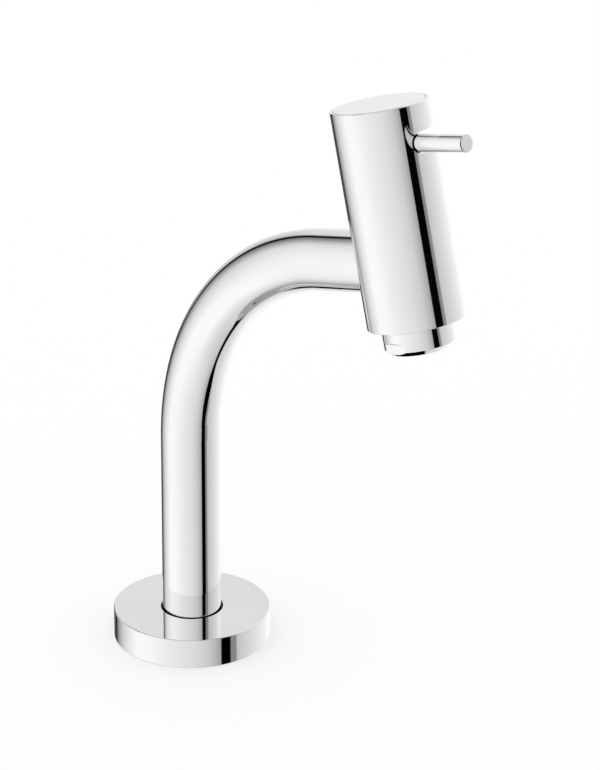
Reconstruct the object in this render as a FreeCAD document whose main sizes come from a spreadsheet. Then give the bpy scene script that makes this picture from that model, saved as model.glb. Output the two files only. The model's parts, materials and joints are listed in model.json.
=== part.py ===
import FreeCAD, Part
import os
import re

import Sketcher
from FreeCAD import Placement, Rotation, Vector

# Basin pillar tap: a bent tube on a round foot carries a tilted cylindrical head.
# A lever pin turns a quarter-turn ceramic cartridge in the head through a slot in
# its shell, and water leaves through an aerator at the head's lower end.
#
# Frame: origin on the column's axis at deck level, +Z up, the arm along +X.
# Head pieces are drawn in the head's own frame: its origin is where the arm's
# axis meets the head's axis, its Z runs up the head and its X points outwards.

# Driving dimensions, in millimetres and degrees. A radius is a radius, not a diameter.
driving = {
    # spout tube
    "tube_radius": 11.0,
    "tube_wall": 2.0,
    "column_rise": 81.5,
    "bend_radius": 94.6,
    "arm_rise": 14.7,
    "arm_reach": 41.7,
    "solder_gap": 0.03,
    # how far each cut runs past the wall that it opens
    "overcut": 1.0,
    # cover plate of the foot
    "cover_radius": 29.4,
    "cover_height": 11.3,
    "cover_wall": 3.0,
    "cover_rim": 3.0,
    "cover_gap": 0.7,
    "cover_edge": 0.4,
    "cover_cord": 1.2,
    # flange and threaded shank
    "flange_gap": 0.4,
    "flange_play": 1.0,
    "socket_depth": 2.5,
    "spigot_rise": 20.0,
    "water_bore": 6.0,
    "shank_radius": 10.48,
    "shank_length": 55.0,
    "shank_lead": 1.2,
    "tail_groove_width": 2.0,
    "tail_groove_depth": 0.9,
    # deck and the pieces that clamp it
    "deck_thickness": 18.0,
    "gasket_thickness": 2.0,
    "gasket_inset": 0.5,
    "gasket_play": 2.0,
    "clamp_seal_radius": 19.0,
    "clamp_seal_thickness": 3.0,
    "clamp_washer_radius": 20.0,
    "clamp_washer_thickness": 2.0,
    "washer_play": 0.3,
    "nut_flats": 30.0,
    "nut_height": 8.0,
    "thread_fit": 0.06,
    # head shell
    "head_radius": 17.1,
    "head_above": 55.9,
    "head_below": 20.7,
    "shell_wall": 1.8,
    "shell_floor": 2.0,
    "shell_edge": 0.25,
    "slot_play": 0.5,
    "lever_turn": 90.0,
    # cap of the head
    "rim_wall": 1.05,
    "cap_rise": 0.1,
    "cap_gap": 0.12,
    "cap_thickness": 2.0,
    "cap_edge": 0.2,
    "skirt_depth": 3.3,
    "skirt_wall": 1.8,
    "skirt_play": 0.2,
    "cap_cord": 0.65,
    # valve body
    "body_play": 0.1,
    "body_top": 17.0,
    "outlet_radius": 9.0,
    "seat_drop": 9.0,
    "seat_wall": 2.5,
    "seat_radius": 5.0,
    "chamber_radius": 11.0,
    "chamber_top": 9.0,
    # hollow nipple from the arm into the valve body
    "nipple_radius": 7.95,
    "nipple_bore": 6.0,
    "nipple_reach": 26.0,
    "nipple_inset": 0.2,
    "nipple_cord": 0.9,
    "nipple_land": 3.0,
    # cartridge housing
    "cartridge_thread": 10.48,
    "cartridge_cord": 0.75,
    "barrel_radius": 9.6,
    "barrel_gap": 1.6,
    "disc_bore": 8.0,
    "window_rise": 0.4,
    "window_height": 5.6,
    "window_angle": 100.0,
    "collar_height": 1.2,
    "collar_lap": 1.0,
    "hex_flats": 22.0,
    "hex_height": 5.0,
    "neck_wall": 2.45,
    "neck_height": 6.5,
    "stop_wall": 1.8,
    "stop_height": 2.0,
    # ceramic discs and seals
    "disc_play": 0.1,
    "disc_film": 0.02,
    "disc_thickness": 2.6,
    "port_inner": 2.2,
    "port_outer": 6.3,
    "port_angle": 80.0,
    "seal_height": 2.8,
    "seal_play": 0.3,
    "thrust_thickness": 1.0,
    # spindle
    "spindle_radius": 5.5,
    "spindle_play": 0.05,
    "spindle_rise": 0.6,
    "spindle_flange": 1.8,
    "spindle_cord": 0.7,
    "ring_drop": 1.0,
    "ring_spacing": 6.0,
    "bar_width": 4.4,
    "bar_length": 14.8,
    "notch_depth": 1.2,
    "notch_play": 0.05,
    "lug_angle": 24.0,
    "lug_play": 0.5,
    "spline_tip": 4.0,
    "spline_root": 3.6,
    "spline_length": 7.6,
    "clip_play": 0.1,
    "clip_thickness": 1.0,
    "clip_depth": 0.6,
    "clip_width": 2.6,
    "clip_angle": 290.0,
    "land_height": 0.8,
    # lever carrier and its screws
    "carrier_radius": 11.5,
    "carrier_gap": 0.6,
    "carrier_top": 50.0,
    "web_height": 4.6,
    "spline_play": 0.03,
    "socket_play": 0.2,
    "screw_radius": 2.0,
    "screw_length": 14.0,
    "screw_head": 3.5,
    "screw_head_height": 3.0,
    "screw_play": 0.1,
    "recess_play": 0.5,
    "key_flats": 3.0,
    "key_depth": 1.8,
    "grub_radius": 1.5,
    "grub_length": 4.2,
    "grub_flats": 1.5,
    "grub_place": 8.2,
    # lever pin
    "pin_height": 42.5,
    "pin_radius": 3.1,
    "pin_tip": 39.3,
    "pin_edge": 0.35,
    "pin_thread": 2.5,
    "pin_inner": 5.0,
    "pin_seat": 1.5,
    # aerator
    "nozzle_radius": 12.4,
    "nozzle_drop": 9.4,
    "nozzle_edge": 1.7,
    "nozzle_flats": 23.0,
    "nozzle_flat_drop": 5.2,
    "nozzle_play": 0.2,
    "aerator_thread": 12.0,
    "aerator_depth": 6.0,
    "aerator_seal_thickness": 1.5,
    "aerator_wall": 1.5,
    "insert_play": 0.1,
    "insert_wall": 1.2,
    "insert_plate": 1.6,
    "lip_height": 1.7,
    "lip_radius": 9.4,
    "screen_thickness": 0.5,
    "screen_hole": 1.0,
    "screen_pitch": 2.4,
    "spoke_height": 4.0,
    "spoke_width": 0.8,
    "hub_radius": 2.0,
    "jet_radius": 0.9,
    "jet_circle": 6.2,
}

# Counts of things that repeat.
spline_teeth = 20
jet_count = 12
spoke_count = 6
screen_rings = 3

# Places that follow from the driving dimensions. Heights in the head are taken
# along its axis from the arm's axis, up positive.
worked_out = {
    # where the arm's axis meets the head's axis
    "head_x": "bend_radius * (1 - sin(arm_rise)) + arm_reach * cos(arm_rise)",
    "head_z": "column_rise + bend_radius * cos(arm_rise) + arm_reach * sin(arm_rise)",
    # foot
    "tube_bore": "tube_radius - tube_wall",
    "cover_bore": "cover_radius - cover_rim",
    "cover_ceiling": "cover_height - cover_wall",
    "flange_radius": "cover_bore - flange_play",
    "flange_top": "cover_ceiling - flange_gap",
    "flange_middle": "(gasket_thickness + flange_top) / 2",
    "tube_foot": "flange_top - socket_depth",
    "clamp_seal_low": "0 - deck_thickness - clamp_seal_thickness",
    "clamp_washer_low": "clamp_seal_low - clamp_washer_thickness",
    "nut_low": "clamp_washer_low - nut_height",
    "tail_top": "nut_low - tail_groove_width",
    "clamp_bore": "shank_radius + washer_play",
    # head shell, cap and valve body
    "shell_bore": "head_radius - shell_wall",
    "rim_bore": "head_radius - rim_wall",
    "cap_top": "head_above + cap_rise",
    "cap_seat": "cap_top - cap_thickness",
    "skirt_low": "cap_seat - skirt_depth",
    "skirt_radius": "shell_bore - skirt_play",
    "cap_ring_height": "cap_seat - skirt_depth / 2",
    "slot_half": "pin_radius + slot_play",
    "body_floor": "shell_floor - head_below",
    "body_radius": "shell_bore - body_play",
    "aerator_roof": "body_floor + aerator_depth",
    "seat_top": "0 - seat_drop",
    "seat_low": "seat_top - seat_wall",
    "cartridge_bore": "cartridge_thread + thread_fit",
    "ring_recess": "cartridge_thread + 2 * cartridge_cord + disc_film",
    "ring_floor": "body_top - 2 * cartridge_cord - disc_play",
    # cartridge stack, from the seat upwards
    "barrel_low": "seat_top + barrel_gap",
    "fixed_disc_low": "seat_top + seal_height",
    "moving_disc_low": "fixed_disc_low + disc_thickness + disc_film",
    "moving_disc_top": "moving_disc_low + disc_thickness",
    "window_low": "moving_disc_top + window_rise",
    "spindle_low": "window_low + window_height + spindle_rise",
    "spindle_shoulder": "spindle_low + spindle_flange",
    "barrel_roof": "spindle_shoulder + disc_film + thrust_thickness",
    "spindle_bore": "spindle_radius + spindle_play",
    "disc_radius": "disc_bore - disc_play",
    "hex_low": "body_top + collar_height",
    "hex_top": "hex_low + hex_height",
    "neck_radius": "spindle_bore + neck_wall",
    "neck_top": "hex_top + neck_height",
    "stop_top": "neck_top + stop_height",
    "lower_ring": "body_top - ring_drop",
    "upper_ring": "lower_ring + ring_spacing",
    "clip_low": "stop_top + clip_play",
    "clip_top": "clip_low + clip_thickness",
    "clip_floor": "spindle_radius - clip_depth",
    "spline_low": "clip_top + land_height",
    "spline_top": "spline_low + spline_length",
    # lever carrier
    "carrier_low": "spline_low + carrier_gap",
    "socket_top": "spline_top + socket_play",
    "screw_seat": "socket_top + web_height",
    "pin_seat_place": "carrier_radius - pin_seat",
    "grub_low": "pin_height + pin_thread + disc_film",
    # aerator
    "nozzle_low": "0 - head_below - nozzle_drop",
    "nozzle_shoulder": "body_floor - nozzle_play",
    "nozzle_thread_top": "aerator_roof - aerator_seal_thickness",
    "nozzle_flat_top": "0 - head_below - nozzle_flat_drop",
    "nozzle_bore": "aerator_thread - aerator_wall",
    "insert_radius": "nozzle_bore - insert_play",
    "screen_low": "nozzle_low + lip_height",
    "insert_low": "screen_low + screen_thickness",
}

HEAD = "create(<<placement>>; create(<<vector>>; head_x; 0; head_z); " \
       "create(<<rotation>>; create(<<vector>>; 0; 1; 0); 0 - arm_rise))"

doc = FreeCAD.newDocument("basin_tap")
subparts = []


def tie(text, inside=False):
    """Turn plain names of sizes into references to the sheets' cells."""
    def swap(match):
        word = match.group()
        if word in driving:
            return "sizes." + word
        if word in worked_out and not inside:
            return "places." + word
        return word
    return re.sub(r"[a-z_]+", swap, text)


def make_sheets():
    sizes = doc.addObject("Spreadsheet::Sheet", "sizes")
    for row, (name, number) in enumerate(driving.items(), 1):
        sizes.set(f"A{row}", name)
        sizes.set(f"B{row}", str(number))
        sizes.setAlias(f"B{row}", name)
    doc.recompute()
    places = doc.addObject("Spreadsheet::Sheet", "places")
    for row, (name, formula) in enumerate(worked_out.items(), 1):
        places.set(f"A{row}", name)
        places.setAlias(f"B{row}", name)
        places.set(f"B{row}", "=" + tie(formula, inside=True))
    doc.recompute()
    return sizes, places


sizes, places = make_sheets()


def value(text):
    """The number that an expression of size names comes to."""
    return float(places.evalExpression(tie(text)))


def bind(thing, path, text):
    thing.setExpression(path, tie(text))


def turned_placement(x, y, z, axis, angle):
    return f"create(<<placement>>; create(<<vector>>; {x}; {y}; {z}); " \
           f"create(<<rotation>>; create(<<vector>>; {axis}); {angle}))"


def new_body(label, in_head=False):
    body = doc.addObject("PartDesign::Body", label)
    body.Label = label
    if in_head:
        bind(body, "Placement", HEAD)
    subparts.append(body)
    return body


def plane(body, role):
    return next(feature for feature in body.Origin.OriginFeatures if feature.Role == role)


def sketch_on(body, role, name, offset):
    sketch = body.newObject("Sketcher::SketchObject", f"{body.Label}_{name}")
    sketch.AttachmentSupport = [(plane(body, role), "")]
    sketch.MapMode = "FlatFace"
    bind(sketch, "AttachmentOffset", offset)
    return sketch


def flat_sketch(body, name, height="0"):
    """Sketch in a level plane: x and y are the body's own."""
    return sketch_on(body, "XY_Plane", name, turned_placement("0", "0", height, "0; 0; 1", "0"))


def upright_sketch(body, name, heading="0", height="0"):
    """Sketch in an upright plane through the axis: x runs out at the heading, y runs up."""
    return sketch_on(body, "XZ_Plane", name, turned_placement("0", height, "0", "0; 1; 0", heading))


def facing_sketch(body, name, heading="0", out="0", height="0"):
    """Sketch in an upright plane that faces the heading, a given way out from the axis."""
    away = f"({out})"
    spot = (f"{away} * sin({heading})", height, f"{away} * cos({heading})")
    return sketch_on(body, "YZ_Plane", name, turned_placement(*spot, "0; 1; 0", heading))


def pin_point(sketch, edge, end, x, y):
    for kind, text in (("DistanceX", x), ("DistanceY", y)):
        index = sketch.addConstraint(Sketcher.Constraint(kind, -1, 1, edge, end, value(text)))
        bind(sketch, f"Constraints[{index}]", text)


def outline(sketch, corners):
    """Closed outline whose corners are pairs of expressions."""
    points = [Vector(value(x), value(y), 0) for x, y in corners]
    first = sketch.GeometryCount
    count = len(points)
    for number in range(count):
        sketch.addGeometry(Part.LineSegment(points[number], points[(number + 1) % count]), False)
    for number in range(count):
        after = first + (number + 1) % count
        sketch.addConstraint(Sketcher.Constraint("Coincident", first + number, 2, after, 1))
        pin_point(sketch, first + number, 1, *corners[number])


def circle(sketch, radius, x="0", y="0"):
    centre = Vector(value(x), value(y), 0)
    edge = sketch.addGeometry(Part.Circle(centre, Vector(0, 0, 1), value(radius)), False)
    index = sketch.addConstraint(Sketcher.Constraint("Radius", edge, value(radius)))
    bind(sketch, f"Constraints[{index}]", radius)
    pin_point(sketch, edge, 3, x, y)


def hexagon(sketch, flats, x="0"):
    """Hexagon of a given width across its flats, with two corners level with its middle."""
    reach = f"{flats} / 2 / cos(30)"
    corners = []
    for step in range(6):
        corners.append((f"{x} + {reach} * cos({60 * step})", f"{reach} * sin({60 * step})"))
    outline(sketch, corners)


def star(sketch, tip, root):
    """Outline of a splined shaft: tips and roots in turn."""
    corners = []
    for step in range(2 * spline_teeth):
        angle = 180 / spline_teeth * step
        radius = tip if step % 2 == 0 else root
        corners.append((f"({radius}) * cos({angle})", f"({radius}) * sin({angle})"))
    outline(sketch, corners)


def add_feature(body, kind, name, sketch):
    feature = body.newObject(f"PartDesign::{kind}", f"{body.Label}_{name}")
    feature.Profile = sketch
    sketch.Visibility = False
    return feature


def turn(body, name, corners, kind="Revolution", heading="0", angle="360", axis="V_Axis", height="0"):
    """Revolve an outline about the upright or level axis, centred on its heading."""
    sketch = upright_sketch(body, name + "_outline", heading, height)
    outline(sketch, corners)
    feature = add_feature(body, kind, name, sketch)
    feature.ReferenceAxis = (sketch, [axis])
    feature.Midplane = True
    bind(feature, "Angle", angle)
    return feature


def raise_or_cut(body, kind, name, sketch, length, along_normal=True):
    """Pad or pocket of a given length. A pocket cuts against its sketch's normal unless reversed."""
    feature = add_feature(body, kind, name, sketch)
    bind(feature, "Length", length)
    feature.Reversed = along_normal == (kind == "Pocket")
    return feature


def pad(body, name, sketch, length, along_normal=True):
    return raise_or_cut(body, "Pad", name, sketch, length, along_normal)


def pocket(body, name, sketch, length, along_normal=True):
    return raise_or_cut(body, "Pocket", name, sketch, length, along_normal)


def repeat(body, name, feature, sketch, count):
    pattern = body.newObject("PartDesign::PolarPattern", f"{body.Label}_{name}")
    pattern.Originals = [feature]
    pattern.Axis = (sketch, ["N_Axis"])
    pattern.Angle = 360
    pattern.Occurrences = count
    body.Tip = pattern
    return pattern


def round_edges(body, kind, name, size, spots):
    """Fillet or chamfer the circular edges found at pairs of radius and height."""
    doc.recompute()
    base = body.Tip
    wanted = [(value(radius), value(height)) for radius, height in spots]
    found = []
    for number, edge in enumerate(base.Shape.Edges, 1):
        if not isinstance(edge.Curve, Part.Circle):
            continue
        spot = (edge.Curve.Radius, edge.Curve.Center.z)
        if any(abs(spot[0] - r) < 1e-4 and abs(spot[1] - z) < 1e-4 for r, z in wanted):
            found.append(f"Edge{number}")
    feature = body.newObject(f"PartDesign::{kind}", f"{body.Label}_{name}")
    feature.Base = (base, found)
    bind(feature, "Radius" if kind == "Fillet" else "Size", size)
    return feature


def ring(label, inner, outer, low, high, in_head=False):
    body = new_body(label, in_head)
    turn(body, "ring", [(inner, low), (outer, low), (outer, high), (inner, high)])
    return body


def turn_cord(body, name, outer, cord, place, axis="V_Axis"):
    """Squeezed round cord, drawn with eight flats, that lies inside an outer radius."""
    corners = []
    for step in range(8):
        angle = 22.5 + 45 * step
        out = f"({outer}) - {cord} + {cord} / cos(22.5) * cos({angle})"
        along = f"({place}) + {cord} / cos(22.5) * sin({angle})"
        corners.append((out, along) if axis == "V_Axis" else (along, out))
    turn(body, name, corners, axis=axis)


def o_ring(label, outer, cord, place, in_head=False, axis="V_Axis"):
    body = new_body(label, in_head)
    turn_cord(body, "cord", outer, cord, place, axis)


# Foot: cover plate, flanged shank, deck seal and the pieces under the deck

def make_escutcheon():
    body = new_body("escutcheon")
    hole = "tube_radius + cover_gap"
    turn(body, "plate", [
        ("cover_bore", "0"), ("cover_radius", "0"), ("cover_radius", "cover_height"),
        (hole, "cover_height"), (hole, "cover_ceiling"), ("cover_bore", "cover_ceiling")])
    round_edges(body, "Fillet", "edge", "cover_edge", [("cover_radius", "cover_height")])


def make_mounting_shank():
    body = new_body("mounting_shank")
    socket = "tube_radius + solder_gap"
    spigot = "tube_bore - solder_gap"
    groove = "cover_bore - 2 * cover_cord"
    half = "(cover_cord + disc_film)"
    # a groove parts the nut's thread from the tail's, where the supply is screwed on
    tail_groove = "shank_radius - tail_groove_depth"
    turn(body, "turned", [
        ("water_bore", "0 - shank_length"),
        ("shank_radius - shank_lead", "0 - shank_length"),
        ("shank_radius", "shank_lead - shank_length"),
        ("shank_radius", "tail_top"),
        (tail_groove, "tail_top"),
        (tail_groove, "nut_low"),
        ("shank_radius", "nut_low"),
        ("shank_radius", "gasket_thickness"),
        ("flange_radius", "gasket_thickness"),
        ("flange_radius", f"flange_middle - {half}"),
        (groove, f"flange_middle - {half}"),
        (groove, f"flange_middle + {half}"),
        ("flange_radius", f"flange_middle + {half}"),
        ("flange_radius", "flange_top"),
        (socket, "flange_top"),
        (socket, "tube_foot"),
        (spigot, "tube_foot"),
        (spigot, "flange_top + spigot_rise"),
        ("water_bore", "flange_top + spigot_rise")])


def make_back_nut():
    body = new_body("back_nut")
    sketch = flat_sketch(body, "hexagon", "nut_low")
    hexagon(sketch, "nut_flats")
    circle(sketch, "shank_radius + thread_fit")
    pad(body, "prism", sketch, "nut_height")
    inner, outer = "nut_flats / 2", "nut_flats / 2 + overcut + nut_height / 2"
    fall = "(overcut + nut_height / 2) * tan(30)"
    for name, level, sign in (("upper", "nut_low + nut_height", "-"), ("lower", "nut_low", "+")):
        turn(body, name + "_bevel", [
            (inner, level), (outer, level), (outer, f"{level} {sign} {fall}")], kind="Groove")


def make_foot():
    make_escutcheon()
    make_mounting_shank()
    o_ring("escutcheon_o_ring", "cover_bore", "cover_cord", "flange_middle")
    outer = "flange_radius - gasket_inset"
    ring("deck_gasket", "shank_radius + gasket_play", outer, "0", "gasket_thickness")
    ring("clamp_seal", "clamp_bore", "clamp_seal_radius", "clamp_seal_low", "0 - deck_thickness")
    ring("clamp_washer", "clamp_bore", "clamp_washer_radius", "clamp_washer_low", "clamp_seal_low")
    make_back_nut()


# Spout tube: upright column, bend and rising arm in one piece

def make_spout_tube():
    body = new_body("spout_tube")
    spine = upright_sketch(body, "path")
    centre = Vector(value("bend_radius"), value("column_rise"), 0)
    corner = Vector(0, centre.y, 0)
    bend_end = centre + Rotation(Vector(0, 0, 1), value("arm_rise")).multVec(Vector(0, centre.x, 0))
    head = Vector(value("head_x"), value("head_z"), 0)
    full_bend = Part.Circle(centre, Vector(0, 0, 1), centre.x)
    start, end = full_bend.parameter(bend_end), full_bend.parameter(corner)
    column = spine.addGeometry(Part.LineSegment(Vector(0, value("tube_foot"), 0), corner), False)
    bend = spine.addGeometry(Part.ArcOfCircle(full_bend, start, end), False)
    arm = spine.addGeometry(Part.LineSegment(bend_end, head), False)
    spine.addConstraint(Sketcher.Constraint("Coincident", column, 2, bend, 2))
    spine.addConstraint(Sketcher.Constraint("Tangent", bend, 1, arm, 1))
    pin_point(spine, column, 1, "0", "tube_foot")
    pin_point(spine, column, 2, "0", "column_rise")
    pin_point(spine, bend, 3, "bend_radius", "column_rise")
    pin_point(spine, arm, 2, "head_x", "head_z")
    section = flat_sketch(body, "section", "tube_foot")
    circle(section, "tube_radius")
    circle(section, "tube_bore")
    pipe = add_feature(body, "AdditivePipe", "sweep", section)
    pipe.Spine = (spine, ["Edge1", "Edge2", "Edge3"])
    # the arm's end is coped to the bore of the head
    saddle = sketch_on(body, "XY_Plane", "saddle",
                       turned_placement("head_x", "0", "head_z", "0; 1; 0", "0 - arm_rise"))
    circle(saddle, "shell_bore")
    cope = pocket(body, "cope", saddle, "2 * (tube_radius + overcut)")
    cope.Midplane = True


# Head: slotted shell with the valve body inside it, and the nipple that feeds it

def make_head_shell():
    body = new_body("head_shell", in_head=True)
    hole = "nozzle_radius + nozzle_play"
    turn(body, "turned", [
        (hole, "0 - head_below"), ("head_radius", "0 - head_below"), ("head_radius", "head_above"),
        ("rim_bore", "head_above"), ("rim_bore", "cap_seat"), ("shell_bore", "cap_seat"),
        ("shell_bore", "body_floor"), (hole, "body_floor")])
    round_edges(body, "Fillet", "edges", "shell_edge",
                [("head_radius", "head_above"), ("head_radius", "0 - head_below")])
    arm_hole = facing_sketch(body, "arm_hole", "180")
    circle(arm_hole, "tube_radius + solder_gap")
    pocket(body, "arm_opening", arm_hole, "head_radius + overcut")
    inside, outside = "shell_bore - overcut", "head_radius + overcut"
    turn(body, "slot", [
        (inside, "pin_height - slot_half"), (outside, "pin_height - slot_half"),
        (outside, "pin_height + slot_half"), (inside, "pin_height + slot_half")],
        kind="Groove", heading="lever_turn / 2", angle="lever_turn")
    for name, heading in (("closed", "0"), ("open", "lever_turn")):
        end = facing_sketch(body, name + "_end", heading, "shell_bore - slot_half")
        circle(end, "slot_half", y="pin_height")
        pocket(body, name + "_slot_end", end, "slot_half + shell_wall + overcut")


def make_valve_body():
    body = new_body("valve_body", in_head=True)
    turn(body, "turned", [
        ("aerator_thread + thread_fit", "body_floor"), ("body_radius", "body_floor"),
        ("body_radius", "body_top"), ("ring_recess", "body_top"), ("ring_recess", "ring_floor"),
        ("cartridge_bore", "ring_floor"), ("cartridge_bore", "chamber_top"),
        ("chamber_radius", "chamber_top"), ("chamber_radius", "seat_top"), ("seat_radius", "seat_top"),
        ("seat_radius", "seat_low"), ("outlet_radius", "seat_low"), ("outlet_radius", "aerator_roof"),
        ("aerator_thread + thread_fit", "aerator_roof")])
    port = facing_sketch(body, "port", "180")
    circle(port, "nipple_radius + solder_gap")
    pocket(body, "port_bore", port, "body_radius + overcut")


def make_arm_nipple():
    body = new_body("arm_nipple", in_head=True)
    groove = "tube_bore - 2 * nipple_cord"
    ring_place = "(nipple_reach - nipple_land)"
    half = "(nipple_cord + disc_film)"
    turn(body, "turned", [
        ("0 - nipple_reach", "nipple_bore"), ("0 - nipple_reach", "nipple_radius"),
        (f"0 - {ring_place} - {half}", "nipple_radius"), (f"0 - {ring_place} - {half}", groove),
        (f"{half} - {ring_place}", groove), (f"{half} - {ring_place}", "nipple_radius"),
        ("0 - chamber_radius - nipple_inset", "nipple_radius"),
        ("0 - chamber_radius - nipple_inset", "nipple_bore")], axis="H_Axis")
    o_ring("arm_o_ring", "tube_bore", "nipple_cord", f"0 - {ring_place}", True, axis="H_Axis")


def make_cap():
    body = new_body("cap_disc", in_head=True)
    edge = "rim_bore - cap_gap"
    groove = "shell_bore - 2 * cap_cord"
    half = "(cap_cord + disc_film)"
    inner = "skirt_radius - skirt_wall"
    turn(body, "turned", [
        ("0", "cap_seat"), (inner, "cap_seat"), (inner, "skirt_low"), ("skirt_radius", "skirt_low"),
        ("skirt_radius", f"cap_ring_height - {half}"), (groove, f"cap_ring_height - {half}"),
        (groove, f"cap_ring_height + {half}"), ("skirt_radius", f"cap_ring_height + {half}"),
        ("skirt_radius", "cap_seat"), (edge, "cap_seat"), (edge, "cap_top"), ("0", "cap_top")])
    round_edges(body, "Fillet", "edge", "cap_edge", [(edge, "cap_top")])
    o_ring("cap_o_ring", "shell_bore", "cap_cord", "cap_ring_height", in_head=True)


# Quarter-turn cartridge: housing, seals, ceramic discs and spindle

def make_cartridge_housing():
    body = new_body("cartridge_housing", in_head=True)
    collar = "ring_recess + collar_lap"
    turn(body, "turned", [
        ("disc_bore", "barrel_low"), ("barrel_radius", "barrel_low"), ("barrel_radius", "chamber_top"),
        ("cartridge_thread", "chamber_top"), ("cartridge_thread", "body_top"), (collar, "body_top"),
        (collar, "hex_low"), ("neck_radius", "hex_low"), ("neck_radius", "stop_top"),
        ("neck_radius - stop_wall", "stop_top"), ("neck_radius - stop_wall", "neck_top"),
        ("spindle_bore", "neck_top"), ("spindle_bore", "barrel_roof"), ("disc_bore", "barrel_roof")])
    flats = flat_sketch(body, "flats", "hex_low")
    hexagon(flats, "hex_flats")
    circle(flats, "neck_radius - stop_wall")
    pad(body, "hexagon", flats, "hex_height")
    inside, outside = "disc_bore - overcut", "barrel_radius + overcut"
    for side in ("0", "180"):
        turn(body, "window_" + side, [
            (inside, "window_low"), (outside, "window_low"),
            (outside, "window_low + window_height"), (inside, "window_low + window_height")],
            kind="Groove", heading=side, angle="window_angle")
    # the stop ring is open where the spindle's lug turns
    inside, outside = "neck_radius - stop_wall - overcut", "neck_radius + overcut"
    turn(body, "stop", [
        (inside, "neck_top"), (outside, "neck_top"),
        (outside, "stop_top + overcut"), (inside, "stop_top + overcut")],
        kind="Groove", heading="lever_turn / 2", angle="lever_turn + lug_angle + 2 * lug_play")


def cut_ports(body, low, heading):
    """Two sector ports through a ceramic disc, opposite each other."""
    below, above = f"{low} - overcut", f"{low} + disc_thickness + overcut"
    for side in (0, 180):
        turn(body, f"port_{side}", [
            ("port_inner", below), ("port_outer", below), ("port_outer", above), ("port_inner", above)],
            kind="Groove", heading=f"{heading} + {side}", angle="port_angle")


def across(sketch, half_length, half_width):
    """Rectangle about the sketch's middle."""
    left, low = f"0 - ({half_length})", f"0 - ({half_width})"
    outline(sketch, [(left, low), (half_length, low), (half_length, half_width), (left, half_width)])


def make_discs():
    fixed = new_body("fixed_disc", in_head=True)
    turn(fixed, "disc", [("0", "fixed_disc_low"), ("disc_radius", "fixed_disc_low"),
                         ("disc_radius", "fixed_disc_low + disc_thickness"),
                         ("0", "fixed_disc_low + disc_thickness")])
    cut_ports(fixed, "fixed_disc_low", "0")
    moving = new_body("moving_disc", in_head=True)
    turn(moving, "disc", [("0", "moving_disc_low"), ("disc_radius", "moving_disc_low"),
                          ("disc_radius", "moving_disc_top"), ("0", "moving_disc_top")])
    cut_ports(moving, "moving_disc_low", "90")
    notch = flat_sketch(moving, "notch", "moving_disc_top")
    across(notch, "disc_radius + overcut", "bar_width / 2 + notch_play")
    pocket(moving, "drive_notch", notch, "notch_depth", along_normal=False)


def ring_groove(height, shaft, floor, half):
    """Corners of a groove in a shaft, from below to above."""
    return [(shaft, f"{height} - {half}"), (floor, f"{height} - {half}"),
            (floor, f"{height} + {half}"), (shaft, f"{height} + {half}")]


def make_spindle():
    body = new_body("spindle", in_head=True)
    floor = "spindle_radius - 2 * spindle_cord"
    half = "(spindle_cord + disc_film)"
    flange = "disc_radius - disc_play"
    corners = [("0", "spindle_low"), (flange, "spindle_low"), (flange, "spindle_shoulder"),
               ("spindle_radius", "spindle_shoulder")]
    corners += ring_groove("lower_ring", "spindle_radius", floor, half)
    corners += ring_groove("upper_ring", "spindle_radius", floor, half)
    corners += [("spindle_radius", "clip_low"), ("clip_floor", "clip_low"), ("clip_floor", "clip_top"),
                ("spindle_radius", "clip_top"), ("spindle_radius", "spline_low"), ("0", "spline_low")]
    turn(body, "shaft", corners)
    spline = flat_sketch(body, "spline", "spline_low")
    star(spline, "spline_tip", "spline_root")
    pad(body, "splined_end", spline, "spline_length")
    bar = flat_sketch(body, "bar", "spindle_low")
    across(bar, "bar_length / 2", "bar_width / 2")
    drop = "spindle_low - moving_disc_top + notch_depth - notch_play"
    pad(body, "drive_bar", bar, drop, along_normal=False)
    root = "spindle_radius - overcut"
    turn(body, "stop_lug", [
        (root, "neck_top + clip_play"), ("neck_radius", "neck_top + clip_play"),
        ("neck_radius", "stop_top - clip_play"), (root, "stop_top - clip_play")],
        angle="lug_angle")
    hole = flat_sketch(body, "screw_hole", "spline_top")
    circle(hole, "screw_radius + solder_gap")
    depth = "spline_top - screw_seat + screw_length + overcut"
    pocket(body, "threaded_hole", hole, depth, along_normal=False)


def make_spindle_o_rings():
    pair = new_body("spindle_o_rings", in_head=True)
    pair.AllowCompound = True
    for place in ("lower_ring", "upper_ring"):
        turn_cord(pair, place, "spindle_radius", "spindle_cord", place)


def make_circlip():
    body = new_body("circlip", in_head=True)
    turn(body, "open_ring", [
        ("clip_floor + solder_gap", "clip_low"), ("clip_floor + clip_width", "clip_low"),
        ("clip_floor + clip_width", "clip_top"), ("clip_floor + solder_gap", "clip_top")],
        heading="180", angle="clip_angle")


def make_cartridge():
    make_cartridge_housing()
    place = "body_top - cartridge_cord - disc_film"
    o_ring("cartridge_o_ring", "ring_recess", "cartridge_cord", place, in_head=True)
    ring("seat_seal", "seat_radius + seal_play", "disc_radius", "seat_top", "fixed_disc_low", in_head=True)
    make_discs()
    ring("thrust_washer", "spindle_bore + disc_play", "disc_radius",
         "spindle_shoulder + disc_film", "barrel_roof", in_head=True)
    make_spindle()
    make_spindle_o_rings()
    make_circlip()


# Lever: carrier on the spindle's spline, the pin and the screws that hold them

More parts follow.
